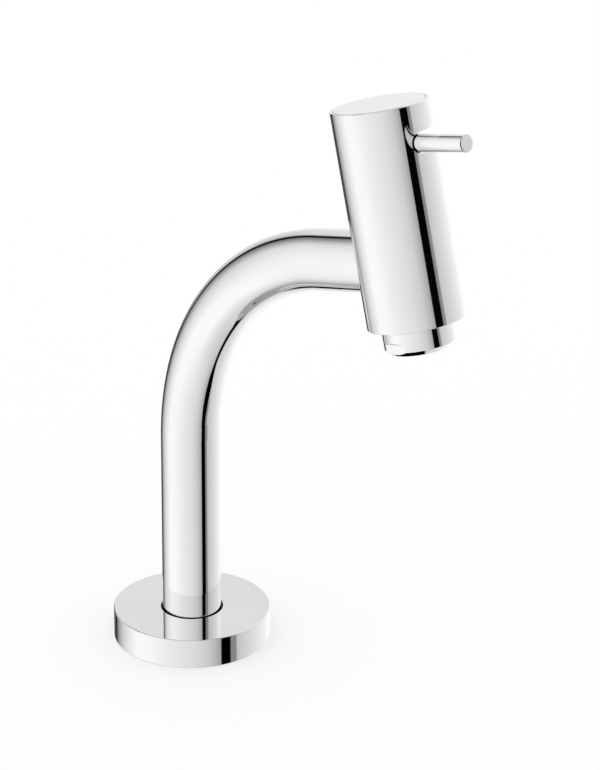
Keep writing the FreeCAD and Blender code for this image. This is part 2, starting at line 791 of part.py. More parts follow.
def make_lever_carrier():
    body = new_body("lever_carrier", in_head=True)
    clear = "screw_radius + screw_play"
    recess = "screw_head + recess_play"
    turn(body, "turned", [
        (clear, "carrier_low"), ("carrier_radius", "carrier_low"), ("carrier_radius", "carrier_top"),
        (recess, "carrier_top"), (recess, "screw_seat"), (clear, "screw_seat")])
    socket = flat_sketch(body, "socket", "carrier_low")
    star(socket, "spline_tip + spline_play", "spline_root + spline_play")
    pocket(body, "spline_socket", socket, "socket_top - carrier_low")
    holes = (("thread", "pin_inner - socket_play", "pin_thread + thread_fit"),
             ("seat", "pin_seat_place", "pin_radius + solder_gap"))
    for name, start, radius in holes:
        sketch = facing_sketch(body, "pin_" + name, "0", start)
        circle(sketch, radius, y="pin_height")
        pocket(body, "pin_" + name + "_hole", sketch, "carrier_radius")
    grub = flat_sketch(body, "grub_hole", "carrier_top")
    circle(grub, "grub_radius + solder_gap", x="grub_place")
    pocket(body, "grub_thread", grub, "carrier_top - pin_height", along_normal=False)


def make_lever_pin():
    body = new_body("lever_pin", in_head=True)
    turn(body, "turned", [
        ("pin_inner", "0"), ("pin_inner", "pin_thread"), ("pin_seat_place", "pin_thread"),
        ("pin_seat_place", "pin_radius"), ("pin_tip - pin_edge", "pin_radius"),
        ("pin_tip", "pin_radius - pin_edge"), ("pin_tip", "0")], axis="H_Axis", height="pin_height")


def hex_socket(body, flats, depth, height, x="0"):
    sketch = flat_sketch(body, "key", height)
    hexagon(sketch, flats, x)
    pocket(body, "key_socket", sketch, depth, along_normal=False)


def make_carrier_screw():
    body = new_body("carrier_screw", in_head=True)
    turn(body, "turned", [
        ("0", "screw_seat - screw_length"), ("screw_radius", "screw_seat - screw_length"),
        ("screw_radius", "screw_seat"), ("screw_head", "screw_seat"),
        ("screw_head", "screw_seat + screw_head_height"), ("0", "screw_seat + screw_head_height")])
    hex_socket(body, "key_flats", "key_depth", "screw_seat + screw_head_height")


def make_grub_screw():
    body = new_body("grub_screw", in_head=True)
    sketch = flat_sketch(body, "round", "grub_low")
    circle(sketch, "grub_radius", x="grub_place")
    pad(body, "stem", sketch, "grub_length")
    hex_socket(body, "grub_flats", "grub_length / 2", "grub_low + grub_length", x="grub_place")


def make_lever():
    make_lever_carrier()
    make_lever_pin()
    make_carrier_screw()
    make_grub_screw()


# Aerator: housing with key flats, plastic insert, outlet screen and its seal

def make_aerator_housing():
    body = new_body("aerator_housing", in_head=True)
    turn(body, "turned", [
        ("lip_radius", "nozzle_low"), ("nozzle_radius", "nozzle_low"), ("nozzle_radius", "nozzle_shoulder"),
        ("aerator_thread", "nozzle_shoulder"), ("aerator_thread", "nozzle_thread_top"),
        ("nozzle_bore", "nozzle_thread_top"), ("nozzle_bore", "screen_low"), ("lip_radius", "screen_low")])
    round_edges(body, "Chamfer", "edge", "nozzle_edge", [("nozzle_radius", "nozzle_low")])
    wide = "(nozzle_radius + overcut)"
    for name, side in (("left", "0 - "), ("right", "")):
        near, far = f"{side}nozzle_flats / 2", f"{side}{wide}"
        flat = flat_sketch(body, name + "_flat", "nozzle_low - overcut")
        outline(flat, [(f"0 - {wide}", near), (wide, near), (wide, far), (f"0 - {wide}", far)])
        pocket(body, name + "_key_flat", flat, "nozzle_flat_top - nozzle_low + overcut")


def make_aerator_insert():
    body = new_body("aerator_insert", in_head=True)
    inner = "insert_radius - insert_wall"
    turn(body, "cup", [
        (inner, "insert_low"), ("insert_radius", "insert_low"), ("insert_radius", "nozzle_thread_top"),
        ("0", "nozzle_thread_top"), ("0", "nozzle_thread_top - insert_plate"),
        (inner, "nozzle_thread_top - insert_plate")])
    hub = flat_sketch(body, "hub", "insert_low")
    circle(hub, "hub_radius")
    pad(body, "hub_stem", hub, "spoke_height")
    spoke = flat_sketch(body, "spoke", "insert_low")
    start, end, half = "hub_radius / 2", f"{inner} + insert_wall / 2", "spoke_width / 2"
    outline(spoke, [(start, f"0 - {half}"), (end, f"0 - {half}"), (end, half), (start, half)])
    bar = pad(body, "spoke_bar", spoke, "spoke_height")
    repeat(body, "spokes", bar, spoke, spoke_count)
    jet = flat_sketch(body, "jet", "nozzle_thread_top")
    circle(jet, "jet_radius", x="jet_circle")
    hole = pocket(body, "jet_hole", jet, "insert_plate", along_normal=False)
    repeat(body, "jets", hole, jet, jet_count)


def make_aerator_screen():
    """Thin disc with hexagonal holes on a lattice that fills a hexagon."""
    low, thickness = value("screen_low"), value("screen_thickness")
    pitch, corner = value("screen_pitch"), value("screen_hole")
    disc = Part.makeCylinder(value("insert_radius"), thickness, Vector(0, 0, low))
    holes = []
    for column in range(-screen_rings, screen_rings + 1):
        for row in range(-screen_rings, screen_rings + 1):
            if abs(column + row) > screen_rings:
                continue
            centre = Vector((column + row / 2) * pitch, row * pitch * 3 ** 0.5 / 2, low - thickness)
            rim = [centre + Rotation(Vector(0, 0, 1), 60 * step + 30).multVec(Vector(corner, 0, 0))
                   for step in range(7)]
            holes.append(Part.Face(Part.makePolygon(rim)).extrude(Vector(0, 0, 3 * thickness)))
    screen = doc.addObject("Part::Feature", "aerator_screen")
    screen.Label = "aerator_screen"
    screen.Shape = disc.cut(Part.makeCompound(holes))
    screen.Placement = Placement(Vector(value("head_x"), 0, value("head_z")),
                                 Rotation(Vector(0, 1, 0), -value("arm_rise")))
    subparts.append(screen)


def make_aerator():
    make_aerator_housing()
    make_aerator_insert()
    make_aerator_screen()
    ring("aerator_seal", "outlet_radius + seal_play", "aerator_thread", "nozzle_thread_top",
         "aerator_roof", in_head=True)


def check_everything():
    for thing in doc.Objects:
        if "Invalid" in thing.State or "Error" in thing.State:
            raise RuntimeError(f"{thing.Label} could not be made: {thing.State}")
    for part in subparts:
        if part.Shape.isNull() or not part.Shape.isValid():
            raise RuntimeError(f"{part.Label} has no valid shape")


def write_parts():
    os.makedirs("parts", exist_ok=True)
    for part in subparts:
        part.Shape.exportStep(f"parts/{part.Label}.step")
        print(f"{part.Label}: {len(part.Shape.Solids)} solid, {part.Shape.Volume:.1f} cubic mm")


make_foot()
make_spout_tube()
make_head_shell()
make_valve_body()
make_arm_nipple()
make_cap()
make_cartridge()
make_lever()
make_aerator()
doc.recompute()
check_everything()
write_parts()
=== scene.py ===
import json
import math

import bmesh
import bpy
import numpy as np
from mathutils import Matrix, Quaternion, Vector


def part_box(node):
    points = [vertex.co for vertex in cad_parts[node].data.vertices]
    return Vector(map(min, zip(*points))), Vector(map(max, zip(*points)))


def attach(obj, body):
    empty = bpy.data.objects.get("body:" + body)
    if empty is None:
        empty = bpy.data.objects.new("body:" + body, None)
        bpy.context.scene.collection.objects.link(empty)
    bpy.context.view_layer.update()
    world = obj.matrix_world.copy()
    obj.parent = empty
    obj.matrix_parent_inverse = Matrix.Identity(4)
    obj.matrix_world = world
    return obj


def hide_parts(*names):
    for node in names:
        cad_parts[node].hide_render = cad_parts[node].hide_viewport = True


# Basin tap: a bent chrome tube on a round foot with a tilted cylindrical head.
# Lengths in the dictionaries are millimetres, angles are degrees.

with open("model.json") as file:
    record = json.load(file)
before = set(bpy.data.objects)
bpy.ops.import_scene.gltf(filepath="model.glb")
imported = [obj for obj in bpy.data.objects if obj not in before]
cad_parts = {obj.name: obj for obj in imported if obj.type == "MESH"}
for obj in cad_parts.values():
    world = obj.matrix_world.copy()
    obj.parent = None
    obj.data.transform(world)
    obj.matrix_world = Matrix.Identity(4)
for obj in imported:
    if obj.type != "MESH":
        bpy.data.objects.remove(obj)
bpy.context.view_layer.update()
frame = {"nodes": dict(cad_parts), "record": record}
nodes = frame["nodes"]
mm = 0.001

# The head's own frame: origin where the arm's axis meets the head's axis, Z up the head
headTilt = 14.7
headOrigin = Vector((110.9296, 0, 183.5852)) * mm
headFrame = Matrix.Translation(headOrigin) @ Matrix.Rotation(math.radians(-headTilt), 4, "Y")
footFrame = Matrix.Identity(4)


# Node helpers

def addNode(tree, kind, inputs=None, **settings):
    made = tree.nodes.new(kind)
    for name, setting in settings.items():
        setattr(made, name, setting)
    for socket, source in (inputs or {}).items():
        if isinstance(source, bpy.types.NodeSocket):
            tree.links.new(source, made.inputs[socket])
        else:
            made.inputs[socket].default_value = source
    return made


def calculate(tree, operation, *terms):
    return addNode(tree, "ShaderNodeMath", dict(enumerate(terms)), operation=operation).outputs[0]


def product(tree, first, *others):
    for other in others:
        first = calculate(tree, "MULTIPLY", first, other)
    return first


def remap(tree, source, fromLow, fromHigh, toLow=0.0, toHigh=1.0):
    return addNode(tree, "ShaderNodeMapRange", {
        "Value": source, "From Min": fromLow, "From Max": fromHigh,
        "To Min": toLow, "To Max": toHigh}).outputs["Result"]


def vectorOf(tree, **parts):
    return addNode(tree, "ShaderNodeCombineXYZ", parts).outputs["Vector"]


def partsOf(tree, vector):
    return addNode(tree, "ShaderNodeSeparateXYZ", {"Vector": vector}).outputs


def newGroup(name, kind, inputs, outputs):
    group = bpy.data.node_groups.new(name, kind)
    for label, socketType, *default in inputs:
        socket = group.interface.new_socket(label, in_out="INPUT", socket_type="NodeSocket" + socketType)
        if default:
            socket.default_value = default[0]
    for label, socketType in outputs:
        group.interface.new_socket(label, in_out="OUTPUT", socket_type="NodeSocket" + socketType)
    return group, group.nodes.new("NodeGroupInput").outputs, group.nodes.new("NodeGroupOutput").inputs


def useGroup(tree, group, inputs):
    return addNode(tree, "ShaderNodeGroup", inputs, node_tree=group).outputs


# Shared effects

noiseReach = (0.3, 0.7)  # a noise texture seldom leaves these values


def makeSoftVariation():
    # slow, cloudy change of a value over the surface, for handling marks and plating
    group, given, out = newGroup("softVariation", "ShaderNodeTree", [
        ("Vector", "Vector"), ("Size", "Float", 20.0), ("Low", "Float", 0.0), ("High", "Float", 1.0)],
        [("Value", "Float")])
    scale = calculate(group, "DIVIDE", 1 / mm, given["Size"])
    cloud = addNode(group, "ShaderNodeTexNoise", {
        "Vector": given["Vector"], "Scale": scale, "Detail": 4.0, "Roughness": 0.55})
    spread = remap(group, cloud.outputs["Fac"], *noiseReach, given["Low"], given["High"])
    group.links.new(spread, out["Value"])
    return group


def makeTurningMarks():
    # fine rings left by the lathe: grooves round the axis on walls and circles on end faces
    group, given, out = newGroup("turningMarks", "ShaderNodeTree", [
        ("Vector", "Vector"), ("Pitch", "Float", 0.15)], [("Height", "Float"), ("Mask", "Float")])
    parts = partsOf(group, given["Vector"])
    squares = [calculate(group, "POWER", parts[axis], 2.0) for axis in ("X", "Y")]
    radius = calculate(group, "SQRT", calculate(group, "ADD", *squares))
    place = calculate(group, "DIVIDE", calculate(group, "ADD", radius, parts["Z"]), mm)
    turns = calculate(group, "DIVIDE", place, given["Pitch"])
    wave = calculate(group, "SINE", calculate(group, "MULTIPLY", turns, 2 * math.pi))
    uneven = addNode(group, "ShaderNodeTexNoise", {
        "W": turns, "Scale": 0.7, "Detail": 3.0}, noise_dimensions="1D").outputs["Fac"]
    height = calculate(group, "MULTIPLY", wave, uneven)
    group.links.new(height, out["Height"])
    group.links.new(uneven, out["Mask"])
    return group


def makeFineGrain():
    # small pits and grains of moulded rubber, moulded plastic and fired ceramic
    group, given, out = newGroup("fineGrain", "ShaderNodeTree", [
        ("Vector", "Vector"), ("Grain", "Float", 0.3)], [("Height", "Float"), ("Mask", "Float")])
    scale = calculate(group, "DIVIDE", 1 / mm, given["Grain"])
    cells = addNode(
        group, "ShaderNodeTexVoronoi", {"Vector": given["Vector"], "Scale": scale}, feature="SMOOTH_F1")
    specks = addNode(group, "ShaderNodeTexNoise", {
        "Vector": given["Vector"], "Scale": scale, "Detail": 5.0, "Roughness": 0.7}).outputs["Fac"]
    group.links.new(calculate(group, "ADD", cells.outputs["Distance"], specks), out["Height"])
    group.links.new(specks, out["Mask"])
    return group


softVariation = makeSoftVariation()
turningMarks = makeTurningMarks()
fineGrain = makeFineGrain()
print("shared effects made")


# Materials

def startMaterial(name, tilted=False):
    # Object coordinates, set upright along the head's axis where the pieces sit in the head
    made = bpy.data.materials.new(name)
    made.use_nodes = True
    tree = made.node_tree
    shader = tree.nodes["Principled BSDF"]
    spot = addNode(tree, "ShaderNodeTexCoord").outputs["Object"]
    if tilted:
        spot = addNode(tree, "ShaderNodeMapping", {
            "Vector": spot, "Location": headOrigin,
            "Rotation": (0, math.radians(-headTilt), 0)}, vector_type="TEXTURE").outputs["Vector"]
    return made, tree, shader, spot


def finishShader(tree, shader, color, rough, height, look):
    bump = addNode(tree, "ShaderNodeBump", {
        "Height": height, "Strength": look["bumpStrength"], "Distance": look["bumpHeight"] * mm})
    for socket, source in (("Base Color", color), ("Roughness", rough), ("Normal", bump.outputs["Normal"])):
        tree.links.new(source, shader.inputs[socket])


def mixColors(tree, mask, first, second):
    # the first is a colour or a socket that gives one
    if isinstance(first, tuple):
        first = (*first, 1)
    return addNode(tree, "ShaderNodeMix", {
        "Factor": mask, "A": first, "B": (*second, 1)}, data_type="RGBA").outputs["Result"]


def cloudy(tree, spot, size, low=0.0, high=1.0):
    return useGroup(tree, softVariation, {"Vector": spot, "Size": size, "Low": low, "High": high})["Value"]


def chromeMaterial(name, look):
    made, tree, shader, spot = startMaterial(name)
    shader.inputs["Metallic"].default_value = 1
    color = mixColors(tree, cloudy(tree, spot, look["cloudSize"]), look["lighter"], look["darker"])
    rough = cloudy(tree, spot, look["smudgeSize"], look["smoothest"], look["roughest"])
    finishShader(tree, shader, color, rough, cloudy(tree, spot, look["rippleSize"]), look)
    return made


chromeLook = {
    "lighter": (0.9, 0.9, 0.9), "darker": (0.87, 0.875, 0.88), "cloudSize": 30.0,
    "smoothest": 0.03, "roughest": 0.06, "smudgeSize": 12.0,
    "rippleSize": 14.0, "bumpStrength": 0.02, "bumpHeight": 0.02,
}
chrome = chromeMaterial("chromePlate", chromeLook)


def turnedMetal(name, look, tilted=False, burntFrom=None):
    made, tree, shader, spot = startMaterial(name, tilted)
    shader.inputs["Metallic"].default_value = 1
    cloud = cloudy(tree, spot, look["stainSize"])
    marks = useGroup(tree, turningMarks, {"Vector": spot, "Pitch": look["pitch"]})
    blend = calculate(tree, "MULTIPLY", cloud, marks["Mask"])
    color = mixColors(tree, blend, look["bright"], look["dull"])
    if burntFrom is not None:
        # black scale where the brass was heated, fading out over its edge
        height = partsOf(tree, spot)["Z"]
        edge = calculate(tree, "MULTIPLY_ADD", cloud, look["scaleEdge"] * mm, burntFrom * mm)
        scorch = remap(tree, calculate(tree, "SUBTRACT", height, edge), 0, look["scaleEdge"] * mm)
        color = mixColors(tree, scorch, color, look["scale"])
    rough = remap(tree, marks["Mask"], *look["markReach"], look["smoothest"], look["roughest"])
    finishShader(tree, shader, color, rough, marks["Height"], look)
    return made


brassLook = {
    "bright": (0.88, 0.66, 0.33), "dull": (0.62, 0.42, 0.18), "stainSize": 6.0, "pitch": 0.22,
    "smoothest": 0.2, "roughest": 0.42, "bumpStrength": 0.35, "bumpHeight": 0.012,
    "markReach": (0.2, 0.8), "scale": (0.02, 0.015, 0.012), "scaleEdge": 1.0,
}
steelLook = {
    "bright": (0.66, 0.65, 0.63), "dull": (0.48, 0.475, 0.46), "stainSize": 5.0, "pitch": 0.12,
    "smoothest": 0.18, "roughest": 0.36, "bumpStrength": 0.3, "bumpHeight": 0.01, "markReach": (0.2, 0.8),
}
brassBelow = turnedMetal("turnedBrassBelow", brassLook)
brassSoldered = turnedMetal("turnedBrassSoldered", brassLook, burntFrom=4.5)
brassInHead = turnedMetal("turnedBrassInHead", brassLook, tilted=True)
steelBelow = turnedMetal("stainlessBelow", steelLook)
steelInHead = turnedMetal("stainlessInHead", steelLook, tilted=True)


def mouldedMaterial(name, look, tilted=False):
    made, tree, shader, spot = startMaterial(name, tilted)
    grain = useGroup(tree, fineGrain, {"Vector": spot, "Grain": look["grain"]})
    color = mixColors(tree, grain["Mask"], look["tint"], look["shade"])
    rough = cloudy(tree, spot, look["patchSize"], look["smoothest"], look["roughest"])
    shader.inputs["Specular IOR Level"].default_value = look["gloss"]
    finishShader(tree, shader, color, rough, grain["Height"], look)
    return made


rubberLook = {
    "tint": (0.014, 0.014, 0.015), "shade": (0.03, 0.03, 0.032), "grain": 0.35, "patchSize": 7.0,
    "smoothest": 0.5, "roughest": 0.75, "gloss": 0.35, "bumpStrength": 0.25, "bumpHeight": 0.04,
}
plasticLook = {
    "tint": (0.82, 0.82, 0.8), "shade": (0.74, 0.74, 0.715), "grain": 0.5, "patchSize": 9.0,
    "smoothest": 0.28, "roughest": 0.42, "gloss": 0.5, "bumpStrength": 0.12, "bumpHeight": 0.02,
}
ceramicLook = {
    "tint": (0.86, 0.855, 0.83), "shade": (0.8, 0.79, 0.76), "grain": 0.12, "patchSize": 4.0,
    "smoothest": 0.08, "roughest": 0.16, "gloss": 0.6, "bumpStrength": 0.05, "bumpHeight": 0.006,
}
rubber = mouldedMaterial("blackRubber", rubberLook)
plastic = mouldedMaterial("whitePlastic", plasticLook, tilted=True)
ceramic = mouldedMaterial("whiteCeramic", ceramicLook, tilted=True)

finishes = {
    "chrome_plate": (chrome, chrome), "raw_brass": (brassBelow, brassInHead),
    "stainless_steel": (steelBelow, steelInHead), "black_rubber": (rubber, rubber),
    "white_plastic": (plastic, plastic), "white_ceramic": (ceramic, ceramic),
}
columnReach = 50 * mm  # the head's pieces stand further out along X
for row in frame["record"]["subparts"]:
    below, inHead = finishes[row["material_slot"]]
    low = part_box(row["node"])[0]
    material = inHead if low.x > columnReach else below
    for place in nodes[row["node"]].material_slots:
        place.material = material
print("materials made")


# Turned shapes. An outline is a closed, counterclockwise list of corners: the radius, the height
# and, where the corner is rounded, the rounding.

def roundCorner(before, corner, after, rounding, steps):
    # points and outward normals along the arc that rounds a corner
    incoming = (corner - before).normalized()
    outgoing = (after - corner).normalized()
    turnAngle = math.atan2(incoming.x * outgoing.y - incoming.y * outgoing.x, incoming.dot(outgoing))
    reach = rounding * math.tan(abs(turnAngle) / 2)
    firstNormal = Vector((incoming.y, -incoming.x))
    side = 1 if turnAngle > 0 else -1
    centre = corner - incoming * reach - firstNormal * rounding * side
    arc = []
    for step in range(steps + 1):
        angle = turnAngle * step / steps
        turned = Vector((firstNormal.x * math.cos(angle) - firstNormal.y * math.sin(angle),
                         firstNormal.x * math.sin(angle) + firstNormal.y * math.cos(angle)))
        arc.append((centre + turned * rounding * side, turned))
    return arc


def outlineRuns(corners, steps=8):
    # runs of (start, start normal, end, end normal) round the closed outline
    points = [Vector(corner[:2]) for corner in corners]
    arcs = []
    for number, (point, corner) in enumerate(zip(points, corners)):
        if len(corner) > 2:
            before, after = points[number - 1], points[(number + 1) % len(points)]
            arcs.append(roundCorner(before, point, after, corner[2], steps))
        else:
            arcs.append([(point, None)])
    runs = []
    for number, arc in enumerate(arcs):
        for (start, startNormal), (end, endNormal) in zip(arc, arc[1:]):
            runs.append((start, startNormal, end, endNormal))
        start, end = arc[-1][0], arcs[(number + 1) % len(arcs)][0][0]
        along = (end - start).normalized()
        straight = Vector((along.y, -along.x))
        runs.append((start, straight, end, straight))
    return runs


def layNormals(mesh, normals):
    mesh.polygons.foreach_set("use_smooth", [True] * len(mesh.polygons))
    mesh.normals_split_custom_set([tuple(normal) for normal in normals])
    mesh.update()


def turnedMesh(name, runs, place, steps):
    # revolves the runs about Z; returns a mesh whose corner normals are exact
    keys, vertices, faces, normals = {}, [], [], []
    spin = [(math.cos(2 * math.pi * step / steps), math.sin(2 * math.pi * step / steps))
            for step in range(steps)]

    def ringOf(point):
        key = (round(point.x, 6), round(point.y, 6))
        if key not in keys:
            keys[key] = len(vertices)
            if key[0] == 0:
                vertices.append((0, 0, point.y))
            else:
                vertices.extend((point.x * c, point.x * s, point.y) for c, s in spin)
        return keys[key], key[0] == 0

    for start, startNormal, end, endNormal in runs:
        (low, lowPole), (high, highPole) = ringOf(start), ringOf(end)
        if lowPole and highPole:
            continue
        for step in range(steps):
            after = (step + 1) % steps
            corners = [(low if lowPole else low + step, step, startNormal)]
            if not lowPole:
                corners.append((low + after, after, startNormal))
            if not highPole:
                corners.append((high + after, after, endNormal))
            corners.append((high if highPole else high + step, step, endNormal))
            faces.append([corner[0] for corner in corners])
            for _, turn, normal in corners:
                c, s = spin[turn]
                normals.append((normal.x * c, normal.x * s, normal.y))
    mesh = bpy.data.meshes.new(name)
    mesh.from_pydata([Vector(vertex) * mm for vertex in vertices], [], faces)
    mesh.transform(place)
    turn = place.to_3x3()
    layNormals(mesh, [turn @ Vector(normal) for normal in normals])
    return mesh


onSurface = 0.002  # millimetres from a turned surface within which a corner belongs to it
sameWay = 0.95  # how well a face agrees with that surface's normal, where 1 is wholly


def exactNormals(mesh, runs, place):
    # after a cut, corners on the turned surfaces get their exact normals back
    back = place.inverted()
    turn, turnBack = place.to_3x3(), back.to_3x3()
    starts, startNormals, ends, endNormals = (
        np.array([tuple(run[part]) for run in runs]) for part in range(4))
    along = ends - starts
    length = np.maximum((along ** 2).sum(1), 1e-12)
    local = [back @ vertex.co / mm for vertex in mesh.vertices]
    normals = []
    for polygon in mesh.polygons:
        faceNormal = turnBack @ polygon.normal
        spots = [local[index] for index in polygon.vertices]
        middle = sum(spots, Vector()) / len(spots)
        out = Vector((middle.x, middle.y)).normalized()
        flat = np.array((faceNormal.x * out.x + faceNormal.y * out.y, faceNormal.z))
        rims = np.array([(math.hypot(spot.x, spot.y), spot.z) for spot in spots])
        share = np.clip(((rims[:, None] - starts) * along).sum(2) / length, 0, 1)
        near = starts + along * share[..., None]
        miss = np.abs(near - rims[:, None]).max(2).max(0)
        agree = (startNormals + endNormals) @ flat / 2
        fits = (miss < onSurface) & (agree > sameWay)
        if not fits.any():
            normals.extend([polygon.normal.copy()] * len(spots))
            continue
        best = int(np.argmin(np.where(fits, miss, np.inf)))
        for number, spot in enumerate(spots):
            mixed = startNormals[best] * (1 - share[number, best]) + endNormals[best] * share[number, best]
            reach = math.hypot(spot.x, spot.y) or 1
            normal = Vector((mixed[0] * spot.x / reach, mixed[0] * spot.y / reach, mixed[1]))
            normals.append((turn @ normal).normalized())
    layNormals(mesh, normals)


def plainObject(name, data):
    made = bpy.data.objects.new(name, data)
    bpy.context.scene.collection.objects.link(made)
    return made


def addPiece(name, mesh, material, body, slot, *stoodFor):
    made = plainObject(name, mesh)
    mesh.materials.clear()
    mesh.materials.append(material)
    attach(made, body)
    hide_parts(*stoodFor)


def bakeModifiers(subject, name):
    # the evaluated object as a plain mesh; the working object is removed
    bpy.context.view_layer.update()
    ready = subject.evaluated_get(bpy.context.evaluated_depsgraph_get())
    mesh = bpy.data.meshes.new_from_object(ready)
    mesh.name = name
    bpy.data.objects.remove(subject)
    return mesh


hair = 0.002  # millimetres; points that a cut leaves closer than this are joined


def cutAway(name, mesh, cutters):
    subject = plainObject(name + "Blank", mesh)
    tools = [plainObject(name + "Cutter", cutter) for cutter in cutters]
    for tool in tools:
        step = subject.modifiers.new("cut", "BOOLEAN")
        step.operation, step.solver, step.object = "DIFFERENCE", "EXACT", tool
    result = bakeModifiers(subject, name)
    for tool in tools:
        bpy.data.objects.remove(tool)
    shell = bmesh.new()
    shell.from_mesh(result)
    bmesh.ops.dissolve_degenerate(shell, dist=hair * mm, edges=shell.edges)
    shell.to_mesh(result)
    shell.free()
    return result


def outwardMesh(name, shell):
    bmesh.ops.recalc_face_normals(shell, faces=shell.faces)
    mesh = bpy.data.meshes.new(name)
    shell.to_mesh(mesh)
    shell.free()
    return mesh


samePoint = 1e-6  # millimetres


def closedMesh(name, vertices, faces, place):
    shell = bmesh.new()
    made = [shell.verts.new(Vector(vertex) * mm) for vertex in vertices]
    for face in faces:
        shell.faces.new([made[index] for index in face])
    bmesh.ops.remove_doubles(shell, verts=shell.verts, dist=samePoint * mm)
    mesh = outwardMesh(name, shell)
    mesh.transform(place)
    return mesh


# Foot

foot = {
    "radius": 29.4, "height": 11.3, "wall": 3.0, "rim": 3.0, "hole": 11.7,
    "edge": 0.4, "lowEdge": 0.15, "holeEdge": 0.2, "steps": 256,
}


def makeFoot():
    radius, height, hole = foot["radius"], foot["height"], foot["hole"]
    inside, underside = radius - foot["rim"], height - foot["wall"]
    runs = outlineRuns([
        (inside, 0), (radius, 0, foot["lowEdge"]), (radius, height, foot["edge"]),
        (hole, height, foot["holeEdge"]), (hole, underside), (inside, underside)])
    mesh = turnedMesh("footPlate", runs, footFrame, foot["steps"])
    addPiece("foot_plate", mesh, chrome, "tap", "chrome_plate", "escutcheon")


makeFoot()
print("foot made")


# What every Geometry Nodes tree needs: its ending, and the run that turns it into a plain mesh

def finishTree(tree, geometry, given, out):
    single = addNode(tree, "GeometryNodeRealizeInstances", {"Geometry": geometry})
    painted = addNode(tree, "GeometryNodeSetMaterial", {
        "Geometry": single.outputs["Geometry"], "Material": given["Material"]})
    tree.links.new(painted.outputs["Geometry"], out["Geometry"])
    return tree


def runTree(subject, tree, values, name):
    modifier = subject.modifiers.new("shape", "NODES")
    modifier.node_group = tree
    for item in tree.interface.items_tree:
        if item.in_out == "INPUT" and item.name in values:
            modifier[item.identifier] = values[item.name]
    return bakeModifiers(subject, name)


def emptyObject(name):
    return plainObject(name, bpy.data.meshes.new(name))


# Spout tube: a profile swept along column, bend and arm with Geometry Nodes

spout = {
    "radius": 11.0, "bore": 9.0, "footHeight": 5.4, "columnRise": 81.5, "bendRadius": 94.6,
    "headBore": 15.3, "bendSteps": 150, "steps": 192,
}


def spoutPath():
    points = [Vector((0, 0, spout["footHeight"])), Vector((0, 0, spout["columnRise"]))]
    bend = spout["bendRadius"]
    for step in range(1, spout["bendSteps"] + 1):
        angle = math.radians((90 - headTilt) * step / spout["bendSteps"])
        points.append(Vector((bend * (1 - math.cos(angle)), 0, spout["columnRise"] + bend * math.sin(angle))))
    points.append(headOrigin / mm)
    curve = bpy.data.curves.new("spoutPath", "CURVE")
    curve.dimensions = "3D"
    line = curve.splines.new("POLY")
    line.points.add(len(points) - 1)
    for spot, point in zip(line.points, points):
        spot.co = (*(point * mm), 1)
    return plainObject("spoutPath", curve)


def makeSweepTree():
    # one round profile swept along the object's own curve
    tree, given, out = newGroup("roundSweep", "GeometryNodeTree", [
        ("Geometry", "Geometry"), ("Radius", "Float", 0.01), ("Steps", "Int", 64),
        ("Material", "Material")], [("Geometry", "Geometry")])
    profile = addNode(tree, "GeometryNodeCurvePrimitiveCircle", {
        "Resolution": given["Steps"], "Radius": given["Radius"]})
    swept = addNode(tree, "GeometryNodeCurveToMesh", {
        "Curve": given["Geometry"], "Profile Curve": profile.outputs["Curve"]})
    return finishTree(tree, swept.outputs["Mesh"], given, out)


def tubeNormal(point):
    # straight out from the tube's middle line
    bend, rise = spout["bendRadius"] * mm, spout["columnRise"] * mm
    if point.z <= rise and point.x < bend / 2:
        return Vector((point.x, point.y, 0)).normalized()
    along = Vector((math.cos(math.radians(headTilt)), 0, math.sin(math.radians(headTilt))))
    fromCentre = point - Vector((bend, 0, rise))
    if fromCentre.dot(along) < 0:
        flat = Vector((fromCentre.x, 0, fromCentre.z))
        return (fromCentre - flat.normalized() * bend).normalized()
    fromHead = point - headOrigin
    return (fromHead - along * fromHead.dot(along)).normalized()


def makeSpout():
    tree = makeSweepTree()
    walls = []
    for name in ("radius", "bore"):
        values = {"Radius": spout[name] * mm, "Steps": spout["steps"], "Material": chrome}
        walls.append(runTree(spoutPath(), tree, values, name))
    # both walls have the same points in the same order, so each rim is closed point to point
    tube = bmesh.new()
    for wall in walls:
        tube.from_mesh(wall)
    tube.verts.ensure_lookup_table()
    tube.verts.index_update()
    inward = len(walls[0].vertices)
    rims = [edge for edge in tube.edges if edge.is_boundary and edge.verts[0].index < inward]
    for first, second in [edge.verts for edge in rims]:
        facing = [tube.verts[point.index + inward] for point in (second, first)]
        tube.faces.new((first, second, *facing))
    # the arm's end is coped to the bore of the head
    back, cope = headFrame.inverted(), spout["headBore"] * mm
    for vertex in tube.verts:
        local = back @ vertex.co
        if local.x > -cope / 2:
            local.x = -math.sqrt(cope ** 2 - local.y ** 2)
            vertex.co = headFrame @ local
    mesh = outwardMesh("spoutTube", tube)
    ideal = [tubeNormal(vertex.co) for vertex in mesh.vertices]
    normals = []
    for polygon in mesh.polygons:
        for index in polygon.vertices:
            match = polygon.normal.dot(ideal[index])
            onWall = abs(match) > sameWay
            normals.append(ideal[index] * math.copysign(1, match) if onWall else polygon.normal.copy())
    layNormals(mesh, normals)
    addPiece("spout", mesh, chrome, "tap", "chrome_plate", "spout_tube")


makeSpout()
print("spout made")


# Shank below the foot, with its pipe thread wound on by Geometry Nodes

shank = {
    "length": 55.0, "bore": 6.0, "spigotRadius": 8.97, "spigotTop": 27.9, "socket": 11.03,
    "socketFloor": 5.4, "flangeRadius": 25.4, "flangeLow": 2.0, "flangeTop": 7.9, "ringGroove": 24.0,
    "ringHalf": 1.22, "collarHeight": 0.7, "edge": 0.15, "steps": 160,
}
thread = {
    "crest": 10.48, "core": 9.318, "pitch": 1.814, "stretches": [(-54.1, -33.2), (-30.8, -0.8)],
    "stepsPerTurn": 72, "crestFlat": 0.36, "rootShare": 0.96, "sunk": 0.1, "endShare": 0.1,
}


